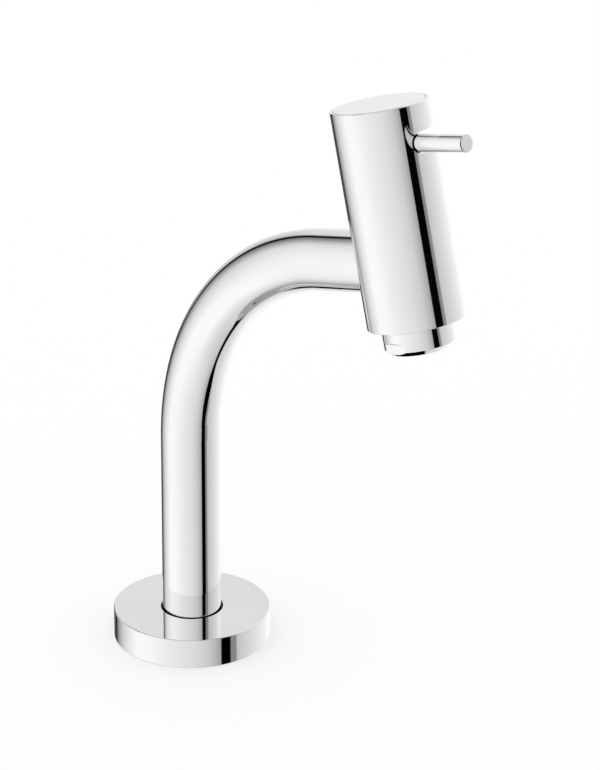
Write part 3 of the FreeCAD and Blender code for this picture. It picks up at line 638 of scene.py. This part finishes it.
def makeThreadTree():
    # a ridge wound round Z: a four-cornered profile on a spiral, thinning out at both of its ends
    tree, given, out = newGroup("windThread", "GeometryNodeTree", [
        ("Core", "Float", 0.009), ("Depth", "Float", 0.001), ("Sunk", "Float", 0.0001),
        ("Width", "Float", 0.002), ("Crest", "Float", 0.0003), ("Turns", "Float", 5.0),
        ("Length", "Float", 0.01), ("End Share", "Float", 0.1), ("Steps", "Int", 72),
        ("Material", "Material")], [("Geometry", "Geometry")])
    spiral = addNode(tree, "GeometryNodeCurveSpiral", {
        "Resolution": given["Steps"], "Rotations": given["Turns"], "Start Radius": given["Core"],
        "End Radius": given["Core"], "Height": given["Length"]})
    upright = addNode(tree, "GeometryNodeSetCurveNormal", {"Curve": spiral.outputs["Curve"]}, mode="Z_UP")
    profile = addNode(tree, "GeometryNodeCurvePrimitiveQuadrilateral", mode="POINTS")
    outward = calculate(tree, "MULTIPLY", given["Depth"], -1.0)  # the profile's X points at the axis
    for number, (reach, width, side) in enumerate((
            (given["Sunk"], "Width", -0.5), (outward, "Crest", -0.5),
            (outward, "Crest", 0.5), (given["Sunk"], "Width", 0.5))):
        corner = vectorOf(tree, X=reach, Y=calculate(tree, "MULTIPLY", given[width], side))
        tree.links.new(corner, profile.inputs[f"Point {number + 1}"])
    along = addNode(tree, "GeometryNodeSplineParameter").outputs["Factor"]
    fromEnd = calculate(tree, "MULTIPLY", calculate(tree, "PINGPONG", along, 0.5), given["Turns"])
    swept = addNode(tree, "GeometryNodeCurveToMesh", {
        "Curve": upright.outputs["Curve"], "Profile Curve": profile.outputs["Curve"],
        "Scale": remap(tree, fromEnd, 0, 1, given["End Share"]), "Fill Caps": True})
    return finishTree(tree, swept.outputs["Mesh"], given, out)


sharpFrom = 30  # degrees between two faces


def joinShapes(name, meshes):
    # several closed shapes in one mesh, shaded smooth except over sharp edges
    joined = bmesh.new()
    for mesh in meshes:
        joined.from_mesh(mesh)
    mesh = outwardMesh(name, joined)
    mesh.polygons.foreach_set("use_smooth", [True] * len(mesh.polygons))
    mesh.set_sharp_from_angle(angle=math.radians(sharpFrom))
    return mesh


def makeShank():
    core, crest, low, bore = thread["core"], thread["crest"], -shank["length"], shank["bore"]
    wide, flangeLow, flangeTop = shank["flangeRadius"], shank["flangeLow"], shank["flangeTop"]
    groove, edge, collar = shank["ringGroove"], shank["edge"], shank["collarHeight"]
    ringLow = (flangeLow + flangeTop) / 2 - shank["ringHalf"]
    ringHigh = ringLow + 2 * shank["ringHalf"]
    spigot, top = shank["spigotRadius"], shank["spigotTop"]
    socket, floor = shank["socket"], shank["socketFloor"]
    runs = outlineRuns([
        (bore, low, edge), (core, low, edge), (core, -collar), (crest, crest - core - collar),
        (crest, flangeLow), (wide, flangeLow, edge), (wide, ringLow), (groove, ringLow),
        (groove, ringHigh), (wide, ringHigh), (wide, flangeTop, edge), (socket, flangeTop, edge),
        (socket, floor), (spigot, floor), (spigot, top, edge), (bore, top, edge)])
    shapes = [turnedMesh("shankCore", runs, footFrame, shank["steps"])]
    tree = makeThreadTree()
    for start, end in thread["stretches"]:
        values = {
            "Core": core * mm, "Depth": (crest - core) * mm, "Sunk": thread["sunk"] * mm,
            "Width": thread["pitch"] * thread["rootShare"] * mm, "Crest": thread["crestFlat"] * mm,
            "Turns": (end - start) / thread["pitch"], "Length": (end - start) * mm,
            "End Share": thread["endShare"], "Steps": thread["stepsPerTurn"], "Material": brassSoldered}
        ridge = runTree(emptyObject("ridge"), tree, values, "ridge")
        ridge.transform(Matrix.Translation((0, 0, start * mm)))
        shapes.append(ridge)
    mesh = joinShapes("threadedShank", shapes)
    addPiece("threaded_shank", mesh, brassSoldered, "tap", "raw_brass", "mounting_shank")


makeShank()
print("shank made")


# Head: slotted shell, cap disc and lever pin

head = {
    "radius": 17.1, "above": 55.9, "below": 20.7, "bore": 15.3, "floor": 2.0, "outlet": 12.6,
    "edge": 0.25, "rimBore": 16.05, "rimEdge": 0.1, "steps": 256,
}
armHole = {"radius": 11.03, "from": 5.0, "to": 25.0, "steps": 192}
cap = {
    "radius": 15.93, "rise": 0.1, "thickness": 2.0, "edge": 0.2, "skirtRadius": 15.1,
    "skirtInner": 13.3, "skirtDepth": 3.3, "grooveRadius": 14.0, "grooveHalf": 0.67, "steps": 256,
}
slot = {
    "height": 42.5, "half": 3.6, "turn": 90, "edge": 0.15, "inside": 13.0, "outside": 19.0,
    "turnSteps": 60, "endSteps": 16,
}


def armHoleMesh():
    radius, near, far = armHole["radius"], armHole["from"], armHole["to"]
    runs = outlineRuns([(0, near), (radius, near), (radius, far), (0, far)])
    towardsArm = headFrame @ Matrix.Rotation(math.radians(-90), 4, "Y")
    return turnedMesh("armHole", runs, towardsArm, armHole["steps"])


def slotMesh():
    # the slot's space: columns along the turn, each with a low and a high point at three depths
    edge, outer = slot["edge"], head["radius"]
    depths = [(slot["inside"], 0), (outer - edge, 0), (slot["outside"], slot["outside"] - outer + edge)]
    turn, turnSteps, endSteps = math.radians(slot["turn"]), slot["turnSteps"], slot["endSteps"]
    columns = [(0, math.pi / 2 * (1 - step / endSteps)) for step in range(endSteps + 1)]
    columns += [(turn * step / turnSteps, 0) for step in range(1, turnSteps)]
    columns += [(turn, -math.pi / 2 * step / endSteps) for step in range(endSteps + 1)]
    vertices, faces = [], []
    for heading, lean in columns:
        for depth, flare in depths:
            half = slot["half"] + flare
            aside, rise = -half * math.sin(lean), half * math.cos(lean)
            x = depth * math.cos(heading) - aside * math.sin(heading)
            y = depth * math.sin(heading) + aside * math.cos(heading)
            vertices += [(x, y, slot["height"] - rise), (x, y, slot["height"] + rise)]
    around = [0, 2, 4, 5, 3, 1]  # out along a column's low points and back along its high ones
    for column in range(len(columns) - 1):
        here = column * len(around)
        there = here + len(around)
        for first, second in zip(around, around[1:] + around[:1]):
            faces.append((here + first, here + second, there + second, there + first))
    return closedMesh("slotSpace", vertices, faces, headFrame)


def makeHeadShell():
    radius, top, low, edge = head["radius"], head["above"], -head["below"], head["edge"]
    bore, rimBore, outlet = head["bore"], head["rimBore"], head["outlet"]
    seat, floor = top + cap["rise"] - cap["thickness"], low + head["floor"]
    runs = outlineRuns([
        (outlet, low), (radius, low, edge), (radius, top, edge), (rimBore, top, head["rimEdge"]),
        (rimBore, seat), (bore, seat), (bore, floor), (outlet, floor)])
    blank = turnedMesh("headBlank", runs, headFrame, head["steps"])
    mesh = cutAway("headShell", blank, [armHoleMesh(), slotMesh()])
    exactNormals(mesh, runs, headFrame)
    addPiece("head_sleeve", mesh, chrome, "tap", "chrome_plate", "head_shell")


def makeCap():
    top, radius, groove = head["above"] + cap["rise"], cap["radius"], cap["grooveRadius"]
    seat, skirt, inner = top - cap["thickness"], cap["skirtRadius"], cap["skirtInner"]
    low, middle = seat - cap["skirtDepth"], seat - cap["skirtDepth"] / 2
    grooveLow, grooveTop = middle - cap["grooveHalf"], middle + cap["grooveHalf"]
    runs = outlineRuns([
        (0, seat), (inner, seat), (inner, low), (skirt, low), (skirt, grooveLow), (groove, grooveLow),
        (groove, grooveTop), (skirt, grooveTop), (skirt, seat), (radius, seat),
        (radius, top, cap["edge"]), (0, top)])
    mesh = turnedMesh("capTop", runs, headFrame, cap["steps"])
    addPiece("cap_top", mesh, chrome, "tap", "chrome_plate", "cap_disc")


pin = {
    "radius": 3.1, "tip": 39.3, "bevel": 0.45, "bevelAngle": 15, "bevelEdge": 0.6, "edge": 0.12,
    "threadRadius": 2.5, "threadEdge": 0.3, "inner": 5.0, "shoulder": 10.0, "steps": 128,
}


def makePin():
    radius, tip, bevel, edge = pin["radius"], pin["tip"], pin["bevel"], pin["edge"]
    threadRadius, inner, shoulder = pin["threadRadius"], pin["inner"], pin["shoulder"]
    bevelDepth = bevel * math.tan(math.radians(pin["bevelAngle"]))
    runs = outlineRuns([
        (0, inner), (threadRadius, inner, pin["threadEdge"]), (threadRadius, shoulder),
        (radius, shoulder, edge), (radius, tip - bevelDepth, edge),
        (radius - bevel, tip, pin["bevelEdge"]), (0, tip)])
    lying = Matrix.Translation((0, 0, slot["height"] * mm)) @ Matrix.Rotation(math.radians(90), 4, "Y")
    mesh = turnedMesh("leverPin", runs, headFrame @ lying, pin["steps"])
    addPiece("lever_rod", mesh, chrome, "lever", "chrome_plate", "lever_pin")


makeHeadShell()
makeCap()
makePin()
print("head made")


# Aerator

aerator = {
    "radius": 12.4, "drop": 9.4, "bevel": 1.7, "flats": 23.0, "flatDrop": 5.2, "flatFlare": 11.65,
    "lipRadius": 9.4, "lipHeight": 1.7, "bore": 10.5, "threadRadius": 12.0, "shoulder": -18.9,
    "top": -14.2, "edge": 0.12, "overcut": 3.0, "steps": 256,
}


def prismMesh(name, section, half, place):
    # a section in Y and Z, drawn out to both sides along X
    count = len(section)
    corners = [(x, y, z) for x in (-half, half) for y, z in section]
    faces = [tuple(range(count)), tuple(range(count, 2 * count))]
    for number in range(count):
        after = (number + 1) % count
        faces.append((number, after, after + count, number + count))
    return closedMesh(name, corners, faces, place)


def makeAerator():
    low, radius, bevel = -head["below"] - aerator["drop"], aerator["radius"], aerator["bevel"]
    lip, bore, edge = aerator["lipRadius"], aerator["bore"], aerator["edge"]
    top, shoulder, threadRadius = aerator["top"], aerator["shoulder"], aerator["threadRadius"]
    screenLow = low + aerator["lipHeight"]
    runs = outlineRuns([
        (lip, low, edge), (radius - bevel, low, edge), (radius, low + bevel, edge), (radius, shoulder),
        (threadRadius, shoulder), (threadRadius, top), (bore, top), (bore, screenLow), (lip, screenLow)])
    blank = turnedMesh("aeratorBlank", runs, headFrame, aerator["steps"])
    flat, flatTop, flare = aerator["flats"] / 2, -head["below"] - aerator["flatDrop"], aerator["flatFlare"]
    far, under = radius + aerator["overcut"], low - aerator["overcut"]
    section = [(flat, under), (flat, flatTop), (flare, flatTop), (far, flatTop + far - flare), (far, under)]
    sides = []
    for side in (-1, 1):
        sides.append(prismMesh("flatSpace", [(side * y, z) for y, z in section], far, headFrame))
    mesh = cutAway("aeratorSleeve", blank, sides)
    exactNormals(mesh, runs, headFrame)
    addPiece("aerator_sleeve", mesh, chrome, "tap", "chrome_plate", "aerator_housing")


screen = {
    "thickness": 0.5, "radius": 10.4, "rimInner": 9.7, "reach": 10.0, "pitch": 1.0,
    "wire": 0.12, "wires": 19, "samples": 110, "sides": 6,
}


def makeWeaveTree():
    # wires side by side, each waved over and under the next set, which is the same turned a quarter
    tree, given, out = newGroup("weaveScreen", "GeometryNodeTree", [
        ("Reach", "Float", 0.01), ("Pitch", "Float", 0.001), ("Wire", "Float", 0.0001),
        ("Wires", "Int", 9), ("Samples", "Int", 60), ("Sides", "Int", 6),
        ("Material", "Material")], [("Geometry", "Geometry")])
    line = addNode(tree, "GeometryNodeCurvePrimitiveLine", {"Start": (-1, 0, 0), "End": (1, 0, 0)})
    sampled = addNode(tree, "GeometryNodeResampleCurve", {
        "Curve": line.outputs["Curve"], "Count": given["Samples"]})
    half = calculate(tree, "MULTIPLY", calculate(tree, "SUBTRACT", given["Wires"], 1.0), -0.5)
    start = vectorOf(tree, Y=calculate(tree, "MULTIPLY", half, given["Pitch"]))
    places = addNode(tree, "GeometryNodeMeshLine", {
        "Count": given["Wires"], "Start Location": start, "Offset": vectorOf(tree, Y=given["Pitch"])})
    parts = partsOf(tree, addNode(tree, "GeometryNodeInputPosition").outputs["Position"])
    squares = [calculate(tree, "POWER", length, 2.0) for length in (given["Reach"], parts["Y"])]
    chord = calculate(tree, "SQRT", calculate(tree, "SUBTRACT", *squares))
    wires = addNode(tree, "GeometryNodeInstanceOnPoints", {
        "Points": places.outputs["Mesh"], "Instance": sampled.outputs["Curve"],
        "Scale": vectorOf(tree, X=chord, Y=1.0, Z=1.0)})
    loose = addNode(tree, "GeometryNodeRealizeInstances", {"Geometry": wires.outputs["Instances"]})
    turns = calculate(tree, "DIVIDE", calculate(tree, "ADD", parts["X"], parts["Y"]), given["Pitch"])
    wave = calculate(tree, "COSINE", calculate(tree, "MULTIPLY", turns, math.pi))
    lift = vectorOf(tree, Z=calculate(tree, "MULTIPLY", wave, given["Wire"]))
    waved = addNode(tree, "GeometryNodeSetPosition", {
        "Geometry": loose.outputs["Geometry"], "Offset": lift}).outputs["Geometry"]
    crossing = addNode(tree, "GeometryNodeTransform", {
        "Geometry": waved, "Rotation": (0, 0, math.pi / 2), "Scale": (1, 1, -1)})
    both = addNode(tree, "GeometryNodeJoinGeometry")
    tree.links.new(waved, both.inputs[0])
    tree.links.new(crossing.outputs["Geometry"], both.inputs[0])
    profile = addNode(tree, "GeometryNodeCurvePrimitiveCircle", {
        "Resolution": given["Sides"], "Radius": given["Wire"]})
    swept = addNode(tree, "GeometryNodeCurveToMesh", {
        "Curve": both.outputs["Geometry"], "Profile Curve": profile.outputs["Curve"], "Fill Caps": True})
    return finishTree(tree, swept.outputs["Mesh"], given, out)


def makeScreen():
    low = aerator["lipHeight"] - head["below"] - aerator["drop"]
    high, radius, inner = low + screen["thickness"], screen["radius"], screen["rimInner"]
    runs = outlineRuns([(inner, low), (radius, low), (radius, high), (inner, high)])
    rim = turnedMesh("screenRim", runs, headFrame, aerator["steps"])
    values = {
        "Reach": screen["reach"] * mm, "Pitch": screen["pitch"] * mm, "Wire": screen["wire"] * mm,
        "Wires": screen["wires"], "Samples": screen["samples"], "Sides": screen["sides"],
        "Material": steelInHead}
    weave = runTree(emptyObject("weave"), makeWeaveTree(), values, "weave")
    weave.transform(headFrame @ Matrix.Translation((0, 0, (low + high) / 2 * mm)))
    mesh = joinShapes("outletScreen", [rim, weave])
    addPiece("outlet_screen", mesh, steelInHead, "tap", "stainless_steel", "aerator_screen")


makeAerator()
makeScreen()
print("aerator made")


# Studio: a white room whose walls change in tone, a black curtain, a dark ceiling and two boards.
# The rise is degrees above level, the heading degrees from +X, and the turn degrees from the
# camera's side. Tones are display values, 0 to 255. A band is (low, high, softness). A fade goes
# from 0 at its first value to 1, or to its third value, at its second.

def tone(shown):
    # the light that shows as this value, by the usual curve of a display
    share = shown / 255
    return ((share + 0.055) / 1.055) ** 2.4 if share > 0.04045 else share / 12.92


def makeBand():
    # 1 between two edges, 0 outside, with soft edges
    group, given, out = newGroup("softBand", "ShaderNodeTree", [
        (name, "Float", 0.0) for name in ("Value", "Low", "High", "Softness")],
        [("Mask", "Float")])
    half = calculate(group, "DIVIDE", given["Softness"], 2.0)
    low, high = (
        remap(group, given["Value"], calculate(group, "SUBTRACT", given[edge], half),
              calculate(group, "ADD", given[edge], half)) for edge in ("Low", "High"))
    group.links.new(calculate(group, "SUBTRACT", low, high), out["Mask"])
    return group


softBand = makeBand()


def inBand(tree, value, low, high, softness):
    return useGroup(tree, softBand, {
        "Value": value, "Low": low, "High": high, "Softness": softness})["Mask"]


def fade(tree, value, begin, end, most=1.0):
    return remap(tree, value, begin, end, 0, most)


def edgeAt(tree, value, start, *moves):
    # a board's or a curtain's edge: its start, and how far it moves over between two values
    for begin, end, by in moves:
        start = calculate(tree, "ADD", start, fade(tree, value, begin, end, by))
    return start


def mixTones(tree, mask, first, second):
    return addNode(tree, "ShaderNodeMix", {
        "Factor": mask, "A": first, "B": second}, data_type="FLOAT").outputs["Result"]


roomWalls = {
    "tones": [(-180, 236), (-167, 217), (-158, 198), (-141, 132), (-136, 160), (-122, 205), (-106, 231),
              (-88, 251), (-66, 250), (-38, 238), (3, 221), (22, 207), (36, 184), (43, 165), (80, 203),
              (112, 226), (145, 245), (160, 250), (180, 236)],
    "nearLeft": (-128, -83, 16), "nearLeftLighter": (-20, 15, 0.25),
    "lowTone": 203, "lowFade": (-50, -75, 0.8),
    "farTone": 222, "farBand": (115, 160, 10), "farFade": (12, 20),
}
curtain = {
    "tone": 8, "left": (-154, (-35, -52, -11)), "right": (-144.3, (-35, -52, 8.3)), "softness": 5,
    "footFade": (-62, -58), "flankRise": (-45, -57), "flankTurn": (-105, -136, 0.4),
    "foldTone": 70, "foldBand": (-177, -151, 3), "foldTop": (-12, -18), "foldFoot": (-34, -30),
}
ceiling = {
    "tone": 40, "fade": (58, 66), "lowerAtLeft": 26,
    "panelTone": 170, "panelAcross": (-0.45, 0.45, 0.1), "panelAlong": (-0.75, 0.45, 0.1),
}
boards = {
    "blackTone": 2, "softness": 1.2,
    "greyTone": 134, "greyFrom": 2, "greySoftness": 3, "greyFade": (-50, -42),
    "left": (0, (-44, -62, 6.5), (-34.5, -33.5, 1.3), (-27.7, -26.7, -1.3), (-20, 0, 1), (8, 18, -2.4)),
    "right": (16, (-38, -52, 13), (-34.5, -33.5, 0.8), (-27.7, -26.7, -0.8), (-20, 0, 4.4), (8, 18, -6.3)),
    "greyWidth": (8, (-34.5, -33.5, 2.4), (-27.7, -26.7, -2.4), (8, 18, 3)),
    "stripFade": (-60, -62), "stripLeft": (0.015, (-0.03, 0.05, 0.06)),
    "stripRight": (0.22, (0.4, 0.6, 0.11)), "stripSoftness": 0.03,
}
studio = {"cameraSide": -43.7, "chromeShare": 0.9, "leftSide": (-169, -83, 20), "leastHeight": 0.001}


def lookedAt(tree):
    # where a mirrored ray goes: its angles, and the place it reaches on the ceiling or the floor
    parts = partsOf(tree, addNode(tree, "ShaderNodeTexCoord").outputs["Generated"])
    at = {
        "heading": calculate(tree, "DEGREES", calculate(tree, "ARCTAN2", parts["Y"], parts["X"])),
        "rise": calculate(tree, "DEGREES", calculate(tree, "ARCSINE", parts["Z"])),
    }
    turned = calculate(tree, "ADD", at["heading"], 180 - studio["cameraSide"])
    at["turns"] = calculate(tree, "FRACT", calculate(tree, "DIVIDE", turned, 360.0))
    at["turn"] = calculate(tree, "MULTIPLY_ADD", at["turns"], 360.0, -180.0)
    at["leftSide"] = inBand(tree, at["turn"], *studio["leftSide"])
    for level, side in (("ceiling", 1.0), ("floor", -1.0)):
        upward = calculate(tree, "MULTIPLY", parts["Z"], side)
        height = calculate(tree, "MAXIMUM", upward, studio["leastHeight"])
        at[level] = [calculate(tree, "DIVIDE", parts[axis], height) for axis in ("X", "Y")]
    return at


def paintWalls(tree, at):
    # a little lighter at the upper left, and the floor far below the tap
    turn, rise = at["turn"], at["rise"]
    ramp = addNode(tree, "ShaderNodeValToRGB", {"Fac": at["turns"]})
    stops = ramp.color_ramp.elements
    for number, (stopTurn, shown) in enumerate(roomWalls["tones"]):
        place, light = (stopTurn + 180) / 360, tone(shown)
        stop = stops[number] if number < 2 else stops.new(place)
        stop.position, stop.color = place, (light, light, light, 1)
    lighter = product(
        tree, inBand(tree, turn, *roomWalls["nearLeft"]), fade(tree, rise, *roomWalls["nearLeftLighter"]))
    pattern = mixTones(tree, lighter, ramp.outputs["Color"], 1.0)
    return mixTones(tree, fade(tree, rise, *roomWalls["lowFade"]), pattern, tone(roomWalls["lowTone"]))


def hangCurtain(tree, at, pattern):
    # at the left, wider towards the floor, with its folds behind the tap
    turn, rise = at["turn"], at["rise"]
    steep = fade(tree, product(tree, at["leftSide"], rise), *curtain["flankRise"])
    flank = product(tree, steep, fade(tree, turn, *curtain["flankTurn"]))
    pattern = mixTones(tree, flank, pattern, tone(curtain["tone"]))
    left, right = (edgeAt(tree, rise, *curtain[side]) for side in ("left", "right"))
    hung = product(
        tree, inBand(tree, turn, left, right, curtain["softness"]), fade(tree, rise, *curtain["footFade"]))
    pattern = mixTones(tree, hung, pattern, tone(curtain["tone"]))
    folds = product(
        tree, inBand(tree, turn, *curtain["foldBand"]), fade(tree, rise, *curtain["foldTop"]),
        fade(tree, rise, *curtain["foldFoot"]), calculate(tree, "SUBTRACT", 1.0, hung))
    return mixTones(tree, folds, pattern, tone(curtain["foldTone"]))


def coverTop(tree, at, pattern):
    # the far wall is darker above eye level; the dark ceiling has a light panel over the foot
    heading, rise = at["heading"], at["rise"]
    far = product(
        tree, inBand(tree, heading, *roomWalls["farBand"]), fade(tree, rise, *roomWalls["farFade"]))
    pattern = mixTones(tree, far, pattern, tone(roomWalls["farTone"]))
    lifted = calculate(tree, "MULTIPLY_ADD", at["leftSide"], ceiling["lowerAtLeft"], rise)
    along, across = at["ceiling"]
    panel = product(
        tree, inBand(tree, across, *ceiling["panelAcross"]), inBand(tree, along, *ceiling["panelAlong"]))
    overhead = mixTones(tree, panel, tone(ceiling["tone"]), tone(ceiling["panelTone"]))
    return mixTones(tree, fade(tree, lifted, *ceiling["fade"]), pattern, overhead)


def standBoards(tree, at, pattern):
    # a black board with a grey one beyond it, and a black strip on the floor for steep rays
    rise, heading = at["rise"], at["heading"]
    left, right, greyWidth = (edgeAt(tree, rise, *boards[edge]) for edge in ("left", "right", "greyWidth"))
    upright = inBand(tree, heading, left, right, boards["softness"])
    greyRight = calculate(tree, "ADD", right, greyWidth)
    grey = product(
        tree, inBand(tree, heading, boards["greyFrom"], greyRight, boards["greySoftness"]),
        fade(tree, rise, *boards["greyFade"]))
    ahead, aside = at["floor"]
    stripLeft, stripRight = (edgeAt(tree, ahead, *boards[edge]) for edge in ("stripLeft", "stripRight"))
    strip = inBand(tree, aside, stripLeft, stripRight, boards["stripSoftness"])
    black = mixTones(tree, fade(tree, rise, *boards["stripFade"]), upright, strip)
    pattern = mixTones(tree, grey, pattern, tone(boards["greyTone"]))
    return mixTones(tree, black, pattern, tone(boards["blackTone"]))


def makeWorld():
    world = bpy.data.worlds.new("studio")
    world.use_nodes = True
    tree = world.node_tree
    tree.nodes.clear()
    at = lookedAt(tree)
    pattern = paintWalls(tree, at)
    for paint in (hangCurtain, coverTop, standBoards):
        pattern = paint(tree, at, pattern)
    # mirrors see the walls and boards; everything else sees plain white
    mirrored = addNode(tree, "ShaderNodeBackground", {
        "Color": pattern, "Strength": 1 / studio["chromeShare"]})
    plain = addNode(tree, "ShaderNodeBackground", {"Color": (1, 1, 1, 1), "Strength": 1.0})
    ray = addNode(tree, "ShaderNodeLightPath").outputs
    chosen = addNode(tree, "ShaderNodeMixShader", {
        0: ray["Is Glossy Ray"], 1: plain.outputs[0], 2: mirrored.outputs[0]})
    addNode(tree, "ShaderNodeOutputWorld", {"Surface": chosen.outputs[0]})
    bpy.context.scene.world = world


ground = {"reach": 6.0, "level": -0.2, "glow": 0.5}  # the glow keeps the shadow pale in the picture


def makeFloor():
    reach, level = ground["reach"], ground["level"] * mm
    mesh = bpy.data.meshes.new("floor")
    mesh.from_pydata([(-reach, -reach, level), (reach, -reach, level), (reach, reach, level),
                      (-reach, reach, level)], [], [(0, 1, 2, 3)])
    material = bpy.data.materials.new("paleFloor")
    material.use_nodes = True
    tree = material.node_tree
    shader = tree.nodes["Principled BSDF"]
    shader.inputs["Base Color"].default_value = (1, 1, 1, 1)
    shader.inputs["Roughness"].default_value = 1
    shader.inputs["Specular IOR Level"].default_value = 0
    seen = addNode(tree, "ShaderNodeLightPath").outputs["Is Camera Ray"]
    glow = addNode(tree, "ShaderNodeEmission", {"Color": (1, 1, 1, 1), "Strength": 1.0})
    mixed = addNode(tree, "ShaderNodeMixShader", {
        0: calculate(tree, "MULTIPLY", seen, ground["glow"]), 1: shader.outputs[0], 2: glow.outputs[0]})
    tree.links.new(mixed.outputs[0], tree.nodes["Material Output"].inputs["Surface"])
    mesh.materials.append(material)
    floor = plainObject("floor", mesh)
    floor.visible_glossy = False  # chrome sees the studio below the horizon, as in the photograph


view = {
    "place": (998.76, -898.78, 700.12), "target": (58.54, 0, 121.09), "roll": 0.219,
    "focalPixels": 3992.7, "imageHeight": 770, "sensor": 36.0, "nearest": 0.01, "farthest": 100,
}


def makeCamera():
    data = bpy.data.cameras.new("camera")
    data.sensor_width = view["sensor"]
    data.lens = view["focalPixels"] * view["sensor"] / view["imageHeight"]
    data.clip_start, data.clip_end = view["nearest"], view["farthest"]
    camera = plainObject("camera", data)
    place, target = Vector(view["place"]) * mm, Vector(view["target"]) * mm
    roll = Quaternion((0, 0, 1), math.radians(view["roll"]))
    camera.location = place
    camera.rotation_mode = "QUATERNION"
    camera.rotation_quaternion = (target - place).to_track_quat("-Z", "Y") @ roll
    bpy.context.scene.camera = camera


makeWorld()
makeFloor()
makeCamera()
bpy.context.scene.view_settings.view_transform = "Standard"
print("studio made")
